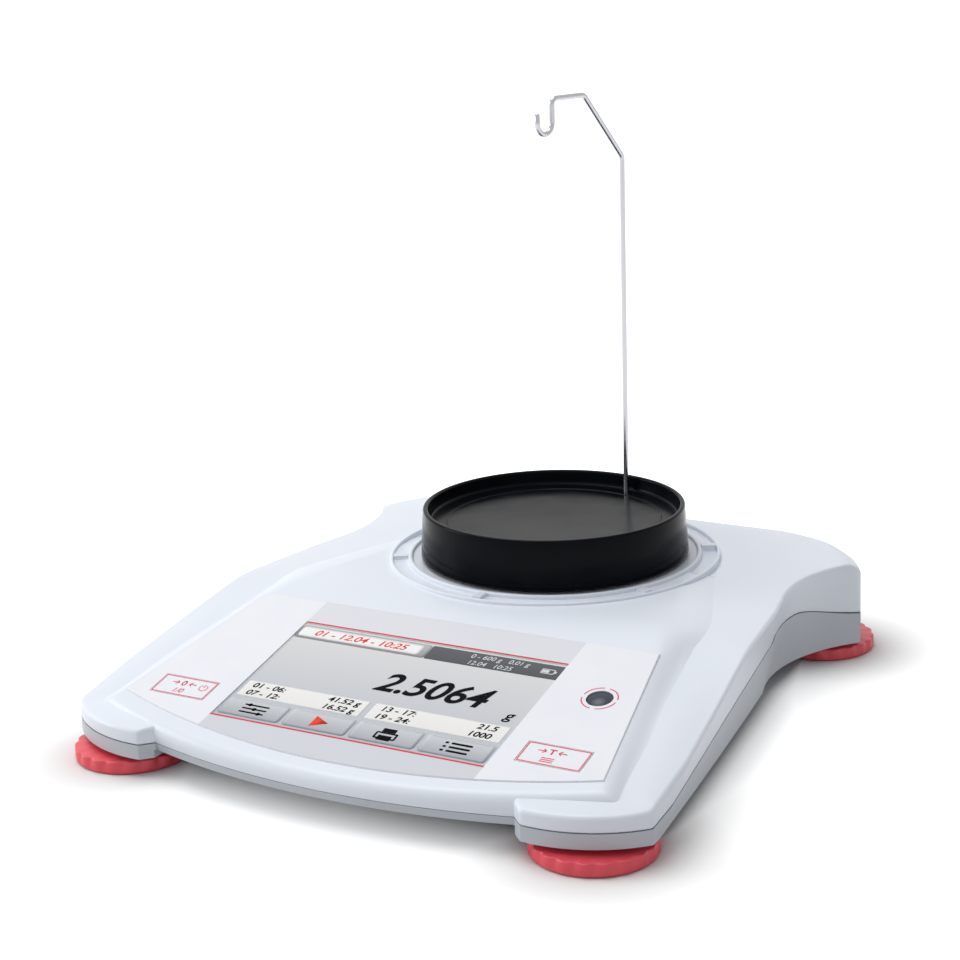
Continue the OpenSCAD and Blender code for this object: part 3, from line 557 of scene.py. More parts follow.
def plan(u, v):
    """Place seen from above of a point of the panel plane."""
    return np.stack(np.broadcast_arrays(u, panel_y + v * math.cos(panel_slope)), axis=-1)


def skirt_arc(u, radius):
    """The front edge: an arc in the panel plane."""
    return plan(u, skirt_v - np.sqrt(radius ** 2 - u ** 2))


def side_line(v, out):
    """The side edge, moved out: a straight line that draws in up the slope."""
    return plan(panel_half + out * math.hypot(1, panel_taper) - panel_taper * v, v)


def mitre_v(radius, out):
    """Where the front arc of a radius meets the side line that is moved out: the nearer root of a square."""
    at_zero = panel_half + out * math.hypot(1, panel_taper)
    half_b = at_zero * panel_taper + skirt_v
    square = 1 + panel_taper ** 2
    return (half_b - math.sqrt(half_b ** 2 - square * (at_zero ** 2 + skirt_v ** 2 - radius ** 2))) / square


def shoulder_line(y):
    """The edge of the platform behind the panel: a line that draws in to the draft ring."""
    return np.stack([corner_x - shoulder_taper * (y - corner_y), y], axis=-1)


front_n, mitre_n, side_n, skirt_n = 74, 11, 64, 8
rear_edge = np.concatenate([
    bezier(side_line(side_end, 0.0), (corner_x - 0.9, corner_y - 2.5), shoulder_line(np.array(3.0)), 22),
    shoulder_line(np.linspace(3, ring_y, 36))[1:]])
rear_run = np.gradient(rear_edge, axis=0)
rear_run /= np.linalg.norm(rear_run, axis=1, keepdims=True)
rear_out = np.stack([rear_run[:, 1], -rear_run[:, 0]], axis=-1)
column_n = front_n + mitre_n - 2 + side_n + len(rear_edge) - 1
column = np.arange(column_n)
side_from, rear_from = front_n + mitre_n - 2, front_n + mitre_n + side_n - 3
sideways = ramp((column - side_from) / 24.0)
on_platform = ramp((column - rear_from + 16) / 34.0)

round_a = np.linspace(0, math.pi / 2, 13)
wall_depths = front_round + np.linspace(0, 1, skirt_n + 1)[1:]
depths = np.concatenate([front_round * (1 - np.cos(round_a)), wall_depths])
radii = np.concatenate([skirt_r - front_round + front_round * np.sin(round_a), np.full(skirt_n, skirt_r)])
step_rows = []
for k, (depth, radius) in enumerate(zip(depths, radii)):
    eased = math.sqrt(4 * side_ease * depth) - side_ease if depth < side_ease else depth
    corner_out = eased / side_slope
    v_corner = mitre_v(radius, corner_out)
    u_corner = side_line(v_corner, corner_out)[0]
    share = k / (len(depths) - 1)
    even_out = -side_ease / side_slope + (side_ease / side_slope + step_reach) * share
    out = corner_out + (even_out - corner_out) * sideways
    front_part = skirt_arc(np.linspace(0, u_corner - mitre, front_n), radius)
    side_part = side_line(np.linspace(v_corner + mitre, side_end, side_n), out[side_from:rear_from + 1])
    turn_part = bezier(front_part[-1], (u_corner, plan(0.0, v_corner)[1]), side_part[0], mitre_n)
    spot = np.concatenate([front_part, turn_part[1:-1], side_part,
                           (rear_edge + rear_out * out[rear_from:, None])[1:]])
    flat = panel_top(spot[:, 0], spot[:, 1])
    slope = side_slope + (shoulder_slope - side_slope) * on_platform
    dive = dive_least + dive_most * ramp((out - dive_at + dive_back * on_platform) / dive_run)
    to_wing = np.maximum(flat - wing_top(spot[:, 0], spot[:, 1]) + dive, dive_least)
    fillet = 0.3 + 2.1 * sideways - 1.6 * on_platform
    drop_s = ease_min(ease_max(0 * slope, slope * out, side_ease), to_wing, fillet)
    front_end = (panel_plane(spot[:, 1]) - parting_low - parting_lip) / math.cos(panel_slope)
    drop_f = min(depth, front_round) + (front_end - front_round) * max(depth - front_round, 0.0)
    drop = np.where(column < side_from, drop_f, drop_s)
    lean = panel_slope * (1 - sideways)
    row = [spot[:, 0], spot[:, 1] + drop * np.sin(lean), flat - drop * np.cos(lean)]
    step_rows.append(np.stack(row, axis=-1))
spine_marks = [0, front_n - 1, side_from, rear_from, rear_from + 21, column_n - 1]
spine_y = np.interp(column, spine_marks, [-100.0, -75.0, -68.0, -19.0, -4.0, ring_y])
spine = np.stack([0 * spine_y, spine_y], axis=-1)
flat_rows = [spine + (step_rows[0][:, :2] - spine) * s for s in np.linspace(0, 1, 40)[:-1]]
flat_rows = [np.concatenate([p, panel_top(p[:, 0], p[:, 1])[:, None]], axis=1) for p in flat_rows]
half = np.stack(flat_rows + step_rows)
panel_skin = np.concatenate([half[:, ::-1] * mirror, half[:, 1:]], axis=1)


def film_half(v):
    """Half width of the film at a height up the slope: a straight taper."""
    return film_low - film_pull * (v - film_low_v)


def panel_openings(x, y, z):
    """The part of the panel under the film, a border inside its edge, and the part under the draft ring."""
    v = (y - panel_y) / math.cos(panel_slope)
    front = film_v - np.sqrt(film_r ** 2 - x ** 2) + opening_inset
    under_film = (v > front) & (v < film_top_v - opening_inset) & (np.abs(x) < film_half(v) - opening_inset)
    return under_film | (np.hypot(x, y - ring_y) < well_r)


panel = lay_mesh("upper_housing_panel", [(panel_skin[::-1], False)], white_shell, opening=panel_openings)
thicken(panel, 1.4)
stand_in(panel, "base", "upper_housing")


# Upper housing, draft ring
# The round well for the dish: a thin outer rim, a channel with six lugs, an inner ridge, a floor with a hole.
# It is turned as one profile of the same white moulding, and the channel is lifted where a lug stands.

rim_r, rim_t, rim_top, rim_foot = 57.7, 1.1, 38.1, 33.5
ridge_out, ridge_t, ridge_top = 51.4, 1.6, 38.5
well_z, channel_z, hole_r, ring_wall, ring_n = 37.3, 36.4, 15.0, 2.4, 720
lug_count, lug_half, lug_rise, lug_gap = 6, 1.6, 2.0, 0.15
rim_inner, ridge_in = rim_r - rim_t, ridge_out - ridge_t
profile = rounded([
    (rim_r, rim_foot, 0), (rim_r, rim_top, 0.45), (rim_inner, rim_top, 0.45), (rim_inner, channel_z, 0.1),
    (rim_inner - lug_gap, channel_z, 0), (ridge_out + lug_gap, channel_z, 0), (ridge_out, channel_z, 0.1),
    (ridge_out, ridge_top, 0.6), (ridge_in, ridge_top, 0.6), (ridge_in, well_z, 0.5), (hole_r, well_z, 0.6),
    (hole_r, well_z - ring_wall, 0.2), (rim_r - ring_wall, well_z - ring_wall, 0.2),
    (rim_r - ring_wall, rim_foot, 0.2), (rim_r, rim_foot, 0)])
ring = turned(profile, (ring_x, ring_y), ring_n)
ring_angle = np.arange(ring_n) * 2 * math.pi / ring_n
lug_pitch = 2 * math.pi / lug_count
lug_turn = (ring_angle - math.pi / 2 + lug_pitch / 2) % lug_pitch - lug_pitch / 2
lug = ramp((lug_half + lug_gap - np.abs(lug_turn) * (rim_r + ridge_out) / 2) / (2 * lug_gap))
in_channel = ((np.abs(profile[:, 1] - channel_z) < 0.01) & (profile[:, 0] > ridge_out + 0.9 * lug_gap)
              & (profile[:, 0] < rim_inner - 0.9 * lug_gap))
ring[..., 2] += lug_rise * in_channel[:, None] * lug[None, :]
draft_ring = lay_mesh("upper_housing_draft_ring", [(ring, True)], white_shell, crease=40.0)
stand_in(draft_ring, "base", "upper_housing")


# Printed film
# A white polyester film stuck on the panel, printed from behind with a grey band round the display.
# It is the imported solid; its print and its pebbled surface are in the material.

def panel_coords(tree, place):
    """Metres across the panel and up its slope from the picture's lower edge, from Object coordinates."""
    shift = tree.nodes.new("ShaderNodeMapping")
    shift.vector_type = "TEXTURE"
    shift.inputs["Location"].default_value = (0, panel_y * MM, panel_z * MM)
    shift.inputs["Rotation"].default_value = (panel_slope, 0, 0)
    tree.links.new(place, shift.inputs["Vector"])
    split = tree.nodes.new("ShaderNodeSeparateXYZ")
    tree.links.new(shift.outputs["Vector"], split.inputs["Vector"])
    return split.outputs["X"], split.outputs["Y"]


def sums(tree, operation, *values):
    """One arithmetic node on numbers and sockets."""
    node = tree.nodes.new("ShaderNodeMath")
    node.operation = operation
    for socket, value in zip(node.inputs, values):
        if isinstance(value, (int, float)):
            socket.default_value = value
        else:
            tree.links.new(value, socket)
    return node.outputs["Value"]


lcd_w, lcd_h = 96.0, 54.4


def printed_film(name):
    """White film with a grey band as wide as the picture, a fine pebble and a soft clear gloss."""
    material, tree, shader, place = new_finish(name)
    across, up = panel_coords(tree, place)
    off = sums(tree, "SUBTRACT", sums(tree, "ABSOLUTE", across), lcd_w / 2 * MM)
    blank = spread(tree, noise(tree, place, 60.0), srgb(237, 240, 247), srgb(241, 243, 249))
    rise = sums(tree, "MULTIPLY", up, 15.0)
    band = spread(tree, rise, srgb(211, 214, 221), srgb(224, 226, 232), (0.0, 0.8))
    mix = tree.nodes.new("ShaderNodeMix")
    mix.data_type = "RGBA"
    tree.links.new(sums(tree, "MULTIPLY_ADD", off, 4000.0, 0.5), mix.inputs["Factor"])
    tree.links.new(band, mix.inputs["A"])
    tree.links.new(blank, mix.inputs["B"])
    tree.links.new(mix.outputs["Result"], shader.inputs["Base Color"])
    pebble = noise(tree, place, 5200.0, 1.0)
    feed(tree, shader, "Roughness", pebble, 0.34, 0.46)
    grain(tree, shader, pebble, 0.2, 0.00001)
    return material


dress(printed_film("printed_film"), "front_overlay", "zero_key", "tare_key")


# Prints on the film
# Screen print: red rules along the picture, coral key frames and symbols, a broken ring round the level.
# Each is a thin layer of ink laid in the panel's plane; what is printed on a key moves with the key.

film_t, ink_t = 0.4, 0.03
key_w, key_h, key_v = 20.4, 9.7, 10.0
key_u = lcd_w / 2 + 7.0 + key_w / 2
level_v = 40.5


def on_panel(u, v, lift):
    """Points of the panel plane, lifted off it, in the part's own frame."""
    u, v, lift = np.broadcast_arrays(np.asarray(u, float), v, lift)
    return np.stack([u, panel_y + v * math.cos(panel_slope) - lift * math.sin(panel_slope),
                     panel_z + v * math.sin(panel_slope) + lift * math.cos(panel_slope)], axis=-1)


def round_outline(u, v, w, h, r, steps=8):
    """Closed outline of a rectangle with round corners, anticlockwise."""
    a = np.linspace(0, math.pi / 2, steps)
    turns = np.concatenate([a, a + math.pi / 2, a + math.pi, a + 1.5 * math.pi])
    cx = np.repeat([1, -1, -1, 1], steps) * (w / 2 - r)
    cy = np.repeat([1, 1, -1, -1], steps) * (h / 2 - r)
    return np.stack([u + cx + r * np.cos(turns), v + cy + r * np.sin(turns)], axis=-1)


def plate(u, v, w, h, r, lift):
    """Filled rounded rectangle: its outline drawn in to its middle line in two rows."""
    rim_line = round_outline(u, v, w, h, r)
    small = round_outline(u, v, w - 2 * r + 0.02, h - 2 * r + 0.02, 0.005)
    middle = small * np.array([1, 0]) + np.array([0, v])
    return np.stack([on_panel(p[:, 0], p[:, 1], lift) for p in (middle, small, rim_line)])[::-1], True


def frame_line(u, v, w, h, r, t, lift):
    """Line of a thickness round a rectangle."""
    lines = round_outline(u, v, w, h, r), round_outline(u, v, w - 2 * t, h - 2 * t, max(r - t, 0.02))
    return np.stack([on_panel(p[:, 0], p[:, 1], lift) for p in lines]), True


def arc_band(u, v, r, t, a0, a1, lift, steps=24):
    """Part of a ring between two angles in degrees."""
    a = np.radians(np.linspace(a0, a1, steps))
    rings = (r + t / 2, r - t / 2)
    return np.stack([on_panel(u + q * np.cos(a), v + q * np.sin(a), lift) for q in rings]), False


def stroke(u0, v0, u1, v1, t, lift):
    """Straight bar between two points."""
    d = np.array([u1 - u0, v1 - v0])
    n = np.array([-d[1], d[0]]) / np.hypot(*d) * t / 2
    ends = np.array([[u0, v0], [u1, v1]])
    return np.stack([on_panel((ends + s * n)[:, 0], (ends + s * n)[:, 1], lift) for s in (-1, 1)]), False


def printed_ink(name, colour, rough=0.4, gloss=0.3):
    """Ink with a little unevenness in its cover."""
    material, tree, shader, place = new_finish(name)
    cover = noise(tree, place, 900.0)
    feed(tree, shader, "Base Color", cover, tinted(colour, -0.04), tinted(colour, 0.04))
    feed(tree, shader, "Roughness", cover, rough - 0.05, rough + 0.05)
    shader.inputs["Specular IOR Level"].default_value = gloss
    return material


def print_on(piece, body):
    """Gives a layer of print its thickness and lets it move with its body."""
    thicken(piece, ink_t * 0.8)
    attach(piece, body)


def lay_print(name, grids, material, body):
    """Lays one layer of print."""
    print_on(lay_mesh(name, grids, material), body)


coral_ink = printed_ink("coral_ink", srgb(240, 96, 112))
red_ink = printed_ink("red_ink", srgb(214, 52, 66))
ink = film_t + ink_t
rule_t, rule_off = 0.7, 0.42
rules = [plate(0, v, lcd_w, rule_t, 0.05, ink) for v in (lcd_h + rule_off, -rule_off)]
lay_print("picture_rules", rules, red_ink, "base")


def film_edge(grow):
    """Outline of the film, grown outwards: its front arc from corner to corner, then its two top corners."""
    corner_u = film_low
    for _ in range(30):
        corner_v = film_v - math.sqrt((film_r + grow) ** 2 - corner_u ** 2)
        corner_u = film_half(corner_v) + grow
    u = np.linspace(-corner_u, corner_u, 81)
    top_u = film_high + grow - film_pull * grow
    return np.concatenate([np.stack([u, film_v - np.sqrt((film_r + grow) ** 2 - u ** 2)], axis=-1),
                           [(top_u, film_top_v + grow), (-top_u, film_top_v + grow)]])


bevel_out, bevel_in, bevel_top = 0.3, -0.04, film_t + 0.02
bevel_section = [(bevel_out, 0.0), (bevel_in, bevel_top), (bevel_in, 0.0), (bevel_out, 0.0)]
bevel_rows = np.stack([on_panel(*film_edge(grow).T, lift) for grow, lift in bevel_section])
# The chamfer over the film's edge is a little greyer than the film: painted shade along the step at its edge.
film_edge_shade = printed_ink("film_edge_painted_shade", srgb(222, 225, 232))
film_bevel = lay_mesh("film_bevel", [(bevel_rows, True)], film_edge_shade, crease=20.0)
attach(film_bevel, "base")
mark_r, mark_t, mark_gap = 5.5, 0.42, 8
level_arcs = [arc_band(key_u, level_v, mark_r, mark_t, a + mark_gap, a + 90 - mark_gap, ink)
              for a in range(0, 360, 90)]
lay_print("level_mark", level_arcs, coral_ink, "base")


def figures(text, size, u, v, lift, shear=0.0, bold=0.0, stretch=1.0):
    """Outline figures filled as a flat mesh, given as vertices on the panel and faces."""
    curve = bpy.data.curves.new("figures", "FONT")
    curve.body = text
    curve.size = size
    curve.shear = shear
    curve.offset = bold
    curve.align_x = "CENTER"
    holder = put("figures", curve)
    flat = as_made(holder)
    points = np.empty(len(flat.vertices) * 3)
    flat.vertices.foreach_get("co", points)
    points = points.reshape(-1, 3)
    faces = [tuple(f.vertices) for f in flat.polygons]
    bpy.data.objects.remove(holder)
    bpy.data.curves.remove(curve)
    bpy.data.meshes.remove(flat)
    return on_panel(u + points[:, 0] * stretch, v + points[:, 1], lift), faces


def lay_figures(name, words, material, body):
    """One piece from several lots of figures."""
    points, faces, start = [], [], 0
    for places, polygons in words:
        points.append(places)
        faces += [tuple(i + start for i in f) for f in polygons]
        start += len(places)
    mesh = bpy.data.meshes.new(name)
    mesh.from_pydata((np.concatenate(points) * MM).tolist(), [], faces)
    mesh.materials.append(material)
    print_on(put(name, mesh), body)


line_t, arrow_v, arrow_gap, arrow_len, arrow_head, sign_off = 0.42, 1.6, 2.0, 2.6, (1.0, 0.9), -1.2
power_u, power_v, power_r, power_t = 6.6, 0.9, 1.45, 0.34
bar_first, bar_pitch, bar_w = -1.5, 0.85, 4.2
for side, body, symbol in ((-1, "zero_key", "0"), (1, "tare_key", "T")):
    u = side * key_u
    sign_u, line_v = u + sign_off, key_v + arrow_v
    marks_on_key = [frame_line(u, key_v, key_w - 0.3, key_h - 0.3, 0.3, 0.45, ink)]
    for s in (-1, 1):
        tip = sign_u + s * arrow_gap
        head_u = tip + s * arrow_head[0]
        marks_on_key += [stroke(tip + s * arrow_len, line_v, tip, line_v, line_t, ink)]
        marks_on_key += [stroke(head_u, line_v + k * arrow_head[1], tip, line_v, line_t, ink)
                         for k in (1, -1)]
    words = [figures(symbol, 3.6, sign_u, key_v + 0.35, ink, 0.0, 0.08)]
    if side < 0:
        on_u, on_v = u + power_u, key_v + power_v
        marks_on_key += [arc_band(on_u, on_v, power_r, power_t, 120, 420, ink),
                         stroke(on_u, on_v + 0.1, on_u, on_v + 1.8, power_t, ink)]
        words += [figures("1/0", 3.2, sign_u, key_v - 3.4, ink, 0.2, 0.02)]
    else:
        bar_vs = [key_v + bar_first - bar_pitch * k for k in range(3)]
        marks_on_key += [plate(sign_u, v, bar_w, line_t, 0.15, ink) for v in bar_vs]
    lay_print(body + "_frame", marks_on_key, coral_ink, body)
    lay_figures(body + "_symbol", words, red_ink, body)


# Display
# Touch glass over a lit picture: a grey run with a title tab, a status bar, a reading, bands and buttons.
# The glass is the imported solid; the picture's fields and figures are thin layers just over it.

picture_gloss = 0.12


def lit_glass(name, low, high, v0, v1, roughest=0.38):
    """Picture behind glass: a colour run between two heights up the slope, under a clear gloss that varies
    finely.
    """
    material, tree, shader, place = new_finish(name)
    _, up = panel_coords(tree, place)
    run = sums(tree, "DIVIDE", sums(tree, "SUBTRACT", up, v0 * MM), (v1 - v0) * MM)
    feed(tree, shader, "Base Color", run, srgb(*low), srgb(*high), (0.0, 1.0))
    feed(tree, shader, "Roughness", noise(tree, place, 3000.0), 0.3, roughest)
    shader.inputs["Specular IOR Level"].default_value = picture_gloss
    return material


dress(lit_glass("lit_picture", (190, 197, 206), (228, 227, 227), 0.0, lcd_h, 0.36), "display_window")
field, face, glyph = 0.04, 0.07, 0.1
top_v, top_run, band_v, band_h, band_run = 49.9, (46, 54), 15.7, 8.2, (11, 20)
button_v, button_h, button_w, button_gap, button_edge, button_run = 5.7, 8.9, 22.7, 1.1, 0.7, (1, 10.4)
button_us = [(k - 1.5) * (button_w + button_gap) for k in range(4)]


def lay_picture(name, marks, material):
    """Lays one layer of the picture, which stays on the body."""
    lay_print("picture_" + name, marks, material, "base")


def lay_rows(name, rows, material):
    """Figures of the picture: each row gives its text, size, place, slant, weight and stretch."""
    words = [figures(text, size, u, v, glyph, *style) for text, size, u, v, *style in rows]
    lay_figures("picture_" + name, words, material, "base")


lay_picture("tab_edge", [plate(-23.3, top_v, 49.2, 7.4, 1.4, field)],
            lit_glass("tab_edge", (150, 152, 156), (196, 198, 200), *top_run))
lay_picture("tab", [plate(-24.2, top_v + 0.2, 45.6, 5.4, 1.2, face)],
            lit_glass("tab_white", (246, 246, 247), (252, 252, 252), *top_run))
lay_picture("bar", [plate(24.6, top_v, 46.6, 7.4, 0.3, field)],
            lit_glass("status_bar", (84, 86, 90), (98, 100, 104), *top_run))
lay_picture("bands", [plate(u, band_v, w, band_h, 0.5, field) for u, w in ((-24.2, 44.6), (23.4, 46.2))],
            lit_glass("info_band", (240, 239, 237), (246, 245, 244), *band_run))
lay_picture("button_edges", [plate(u, button_v, button_w, button_h, 1.3, field) for u in button_us],
            lit_glass("button_edge", (150, 155, 162), (232, 234, 236), *button_run))
lay_picture("buttons", [plate(u, button_v, button_w - button_edge, button_h - button_edge, 1.0, face)
                        for u in button_us],
            lit_glass("button_grey", (172, 177, 184), (214, 217, 221), *button_run))

black_ink = printed_ink("picture_black", srgb(14, 16, 20), 0.5, 0.02)
pale_ink = printed_ink("picture_pale", srgb(222, 224, 228), 0.4, picture_gloss)
bright_red = printed_ink("picture_red", srgb(238, 62, 44), 0.4, picture_gloss)
lay_rows("title", [("01 - 12.04 - 10:25", 4.3, -24.2, top_v - 1.2, 0.2, 0.07, 1.12)], bright_red)
lay_rows("status", [("0 - 600 g   0.01 g", 3.0, 26.0, top_v + 0.7, 0.15, 0.02),
                    ("12.04   10:25", 3.0, 24.0, top_v - 2.9, 0.15, 0.02)], pale_ink)
lay_picture("battery", [frame_line(43.4, top_v, 4.6, 2.6, 0.5, 0.4, glyph),
                        plate(42.6, top_v, 2.4, 1.5, 0.2, glyph), plate(46.0, top_v, 0.6, 1.2, 0.2, glyph)],
            pale_ink)
upper_v, lower_v, small, small_style = 16.5, 12.6, 3.5, (0.15, 0.06, 1.12)
band_rows = [("01 - 06:", -38.0, upper_v), ("07 - 12:", -38.0, lower_v), ("41.52 g", -10.2, upper_v),
             ("16.52 g", -10.2, lower_v), ("13 - 17:", 9.0, upper_v), ("19 - 24:", 9.0, lower_v),
             ("21.5", 39.6, upper_v), ("1000", 38.8, lower_v)]
lay_rows("figures", [("2.5064", 13.6, 13.2, 26.3, 0.25, 0.24, 1.02), ("g", 6.0, 43.0, 23.2, 0.2, 0.05)]
         + [(text, small, u, v, *small_style) for text, u, v in band_rows], black_ink)
u_set, u_go, u_out, u_list = button_us
mark_vs = [button_v + 1.9 * k for k in (1, 0, -1)]
button_marks = [plate(u_set, v, 9.0, 0.7, 0.3, glyph) for v in mark_vs]
button_marks += [plate(u_set + 2.6 * (k - 1), v, 1.5, 1.5, 0.7, glyph) for k, v in enumerate(mark_vs)]
button_marks += [frame_line(u_out, button_v - 0.6, 7.6, 3.4, 0.6, 0.7, glyph),
                 plate(u_out, button_v + 2.1, 4.6, 1.9, 0.2, glyph),
                 plate(u_out, button_v - 1.7, 4.6, 2.4, 0.2, glyph)]
button_marks += [plate(u_list + 0.9, v, 7.0, 0.9, 0.3, glyph) for v in mark_vs]
button_marks += [plate(u_list - 4.1, v, 1.1, 0.9, 0.3, glyph) for v in mark_vs]
lay_picture("button_marks", button_marks, black_ink)
go_u = np.array([u_go - 2.2, u_go + 3.2])
go_rows = [on_panel(go_u, np.array([button_v + s * 2.7, button_v]), glyph) for s in (-1, 1)]
lay_picture("go_mark", [(np.stack(go_rows), False)], bright_red)


# Level
# A small bull's-eye level set in the panel: a domed lens over dark liquid, with a painted highlight low in
# it.
# The lens is turned as a shallow dome standing in its body.

lens_r, lens_rise, lens_sink, lens_depth = 4.1, 0.3, 0.05, 4.0
lens_turn = np.linspace(0, math.pi / 2, 14)[:, None]
lens_a = np.arange(72) * math.pi / 36


def lens_rows(radius, lift):
    """Rings round the middle of the level, in the panel's plane."""
    return on_panel(key_u + radius * np.cos(lens_a), level_v + radius * np.sin(lens_a), lift + 0 * lens_a)


dome = lens_rows(lens_r * np.sin(lens_turn), lens_rise * np.cos(lens_turn) - lens_sink)
well = lens_rows(np.array([[lens_r], [0.0]]), -lens_depth)


def lens_glass(name):
    """Dark liquid under a clear dome, with a painted highlight: lighter round a spot a little below its
    middle, darker away from it.
    """
    material, tree, shader, place = new_finish(name)
    across, up = panel_coords(tree, place)
    # Painted highlight: the liquid is lightest round a spot just below the middle of the level.
    du = sums(tree, "SUBTRACT", across, (key_u + 0.3) * MM)
    dv = sums(tree, "SUBTRACT", up, (level_v - 1.5) * MM)
    square = sums(tree, "ADD", sums(tree, "MULTIPLY", du, du), sums(tree, "MULTIPLY", dv, dv))
    share = sums(tree, "DIVIDE", sums(tree, "SQRT", square), 4.0 * MM)
    feed(tree, shader, "Base Color", share, srgb(108, 112, 123), srgb(56, 60, 72), (0.15, 0.6))
    shader.inputs["Roughness"].default_value = 0.08
    shader.inputs["Specular IOR Level"].default_value = 0.25
    return material


lens = lay_mesh("level_lens", [(np.concatenate([dome, well])[::-1], True)], lens_glass("level_liquid_painted_highlight"))
stand_in(lens, "base", "level_window")


# Loading dish
# Gloss black moulded dish that drops over the pan support's spigot, with a thin rim round a shallow tray.
# It is one turned profile, closed underneath by its hub and skirt.

def gloss_plastic(name, colour, rough):
    """High gloss plastic with faint handling marks in its gloss."""
    material, tree, shader, place = new_finish(name)
    marks = noise(tree, place, 90.0, 6.0)
    feed(tree, shader, "Base Color", marks, tinted(colour, -0.2), tinted(colour, 0.25))
    feed(tree, shader, "Roughness", marks, rough, rough + 0.1)
    shader.inputs["Specular IOR Level"].default_value = 0.05
    grain(tree, shader, marks, 0.04, 0.00002)
    return material


black_gloss = gloss_plastic("black_gloss_moulding", srgb(8, 10, 15), 0.14)
dish_r, dish_z, dish_top = (ring_high[0] - ring_low[0]) / 2, ring_low[2], ring_high[2]
dish_rim, dish_wall, tray_z, tray_t = dish_r - 1.2, 1.8, dish_top - 5.2, 2.0
hub_r, bore_r, hub_up, ledge, ledge_drop = 10.0, 6.06, 2.1, 8.0, 0.25
bore_top = box_mm("pan_support")[1][2] + 0.3
inner_rim = dish_rim - dish_wall
profile = rounded([
    (0.0, bore_top, 0), (bore_r, bore_top, 0.2), (bore_r, dish_z + hub_up, 0.3),
    (hub_r, dish_z + hub_up, 0.5), (hub_r, tray_z - tray_t, 0.5), (inner_rim, tray_z - tray_t, 0.5),
    (dish_r - dish_wall, dish_z, 0.3), (dish_r, dish_z, 0.5), (dish_rim, dish_top, 0.7),
    (inner_rim, dish_top, 0.7), (inner_rim - 0.2, tray_z, 1.2), (dish_rim - ledge, tray_z, 0.2),
    (dish_rim - ledge - 0.3, tray_z - ledge_drop, 0.2), (0.0, tray_z - ledge_drop, 0)])
dish = lay_mesh("loading_dish_moulding", [(turned(profile, (ring_x, ring_y), 256), True)], black_gloss)
stand_in(dish, "loading_dish", "dish")


# Hook
# Bent stainless wire that stands in the dish, reaches over its middle and ends in a small open bend.
# A circle is carried along the bent path, and both ends are rounded.

hook_turn = math.radians(12.8)
hook_reach, hook_foot, hook_top, hook_slope = 41.0, 42.4, 193.8, 22.5
bend_r, neck_r, arm_r, wire_r, drop, tip = 3.8, 2.0, 3.0, 0.95, 7.6, 3.4
upright = rounded([
    (hook_reach, hook_foot, 0), (hook_reach, hook_top - hook_slope, arm_r), (hook_reach / 2, hook_top, arm_r),
    (bend_r, hook_top, neck_r), (bend_r, hook_top - drop, 0)], 14)
bow_a = np.linspace(0, math.pi, 28)[1:]
bow = np.stack([bend_r * np.cos(bow_a), hook_top - drop - bend_r * np.sin(bow_a)], axis=-1)
line = np.concatenate([upright, bow, [(-bend_r, hook_top - drop + tip)]])
sections = np.concatenate([np.linspace(line[0], line[1], 40)[:-1], line[1:]])
run = np.gradient(sections, axis=0)
run /= np.linalg.norm(run, axis=1, keepdims=True)
cap = np.array([0.0, 0.5, 0.87])
foot_cap = run[:1] * wire_r * 0.1 * cap[:, None]
tip_cap = run[-1:] * wire_r * 0.6 * (1 - np.sqrt(1 - cap[::-1] ** 2))[:, None]
sections = np.concatenate([sections[:1] + foot_cap, sections[1:-1], sections[-1:] - tip_cap])
run = np.concatenate([np.repeat(run[:1], 3, axis=0), run[1:-1], np.repeat(run[-1:], 3, axis=0)])
thick = wire_r * np.concatenate([cap, np.ones(len(sections) - 6), cap[::-1]])[:, None]
round_wire = np.arange(20) * math.pi / 10
flat_d = sections[:, :1] - thick * run[:, 1:] * np.cos(round_wire)
flat_z = sections[:, 1:] + thick * run[:, :1] * np.cos(round_wire)
flat_w = thick * np.sin(round_wire)
tube = np.stack([ring_x + flat_d * math.sin(hook_turn) + flat_w * math.cos(hook_turn),
                 ring_y + flat_d * math.cos(hook_turn) - flat_w * math.sin(hook_turn), flat_z], axis=-1)
hook_steel = machined_metal("drawn_wire", srgb(176, 177, 181), 0.2, (1.0, 1.0, 0.05), 2600.0)
hook = lay_mesh("hook_wire", [(tube, True)], hook_steel)
stand_in(hook, "loading_dish", "hook")


# Covers and lock
# Battery cover, port cover and quarter-turn transport lock, moulded in grey and coral.
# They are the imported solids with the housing's and the wheels' finishes.

dress(grey_shell, "battery_cover")
dress(moulded_plastic("grey_cover_moulding", srgb(186, 190, 196), 0.5), "port_cover")
dress(coral_plastic, "transport_lock")


# Camera, light and floor
# A white sweep with soft light from above and the left, seen from a little above the front right corner.
# The floor takes the shadow and is lifted to white only where the camera, a gloss or glass sees it; near the
# body and the wheels the lift fades out, which leaves a painted shadow round them.

def axes_pose(across, upward, back, place):
    """Matrix of an object from its three axes and its place."""
    pose = np.eye(4)
    pose[:3] = np.stack([across, upward, back, place], axis=-1)
    return Matrix(pose.tolist())


eye = np.array([306.24, -543.16, 243.9])
aim = np.array([-4.23, 0.0, 74.26])
roll_angle = math.radians(1.90)
photo_px, focal_px, sensor = 960.0, 1973.59, 36.0
ahead = (aim - eye) / np.linalg.norm(aim - eye)
right = np.cross(ahead, (0, 0, 1))
right /= np.linalg.norm(right)
down = np.cross(ahead, right)
tilted = math.cos(roll_angle) * right + math.sin(roll_angle) * down
upward = math.sin(roll_angle) * right - math.cos(roll_angle) * down
camera_data = bpy.data.cameras.new("camera")
camera_data.sensor_width = sensor
camera_data.lens = focal_px / photo_px * sensor
camera_data.clip_end = 100.0
camera = put("camera", camera_data)
camera.matrix_world = axes_pose(tilted, upward, -ahead, eye * MM)
bpy.context.scene.camera = camera


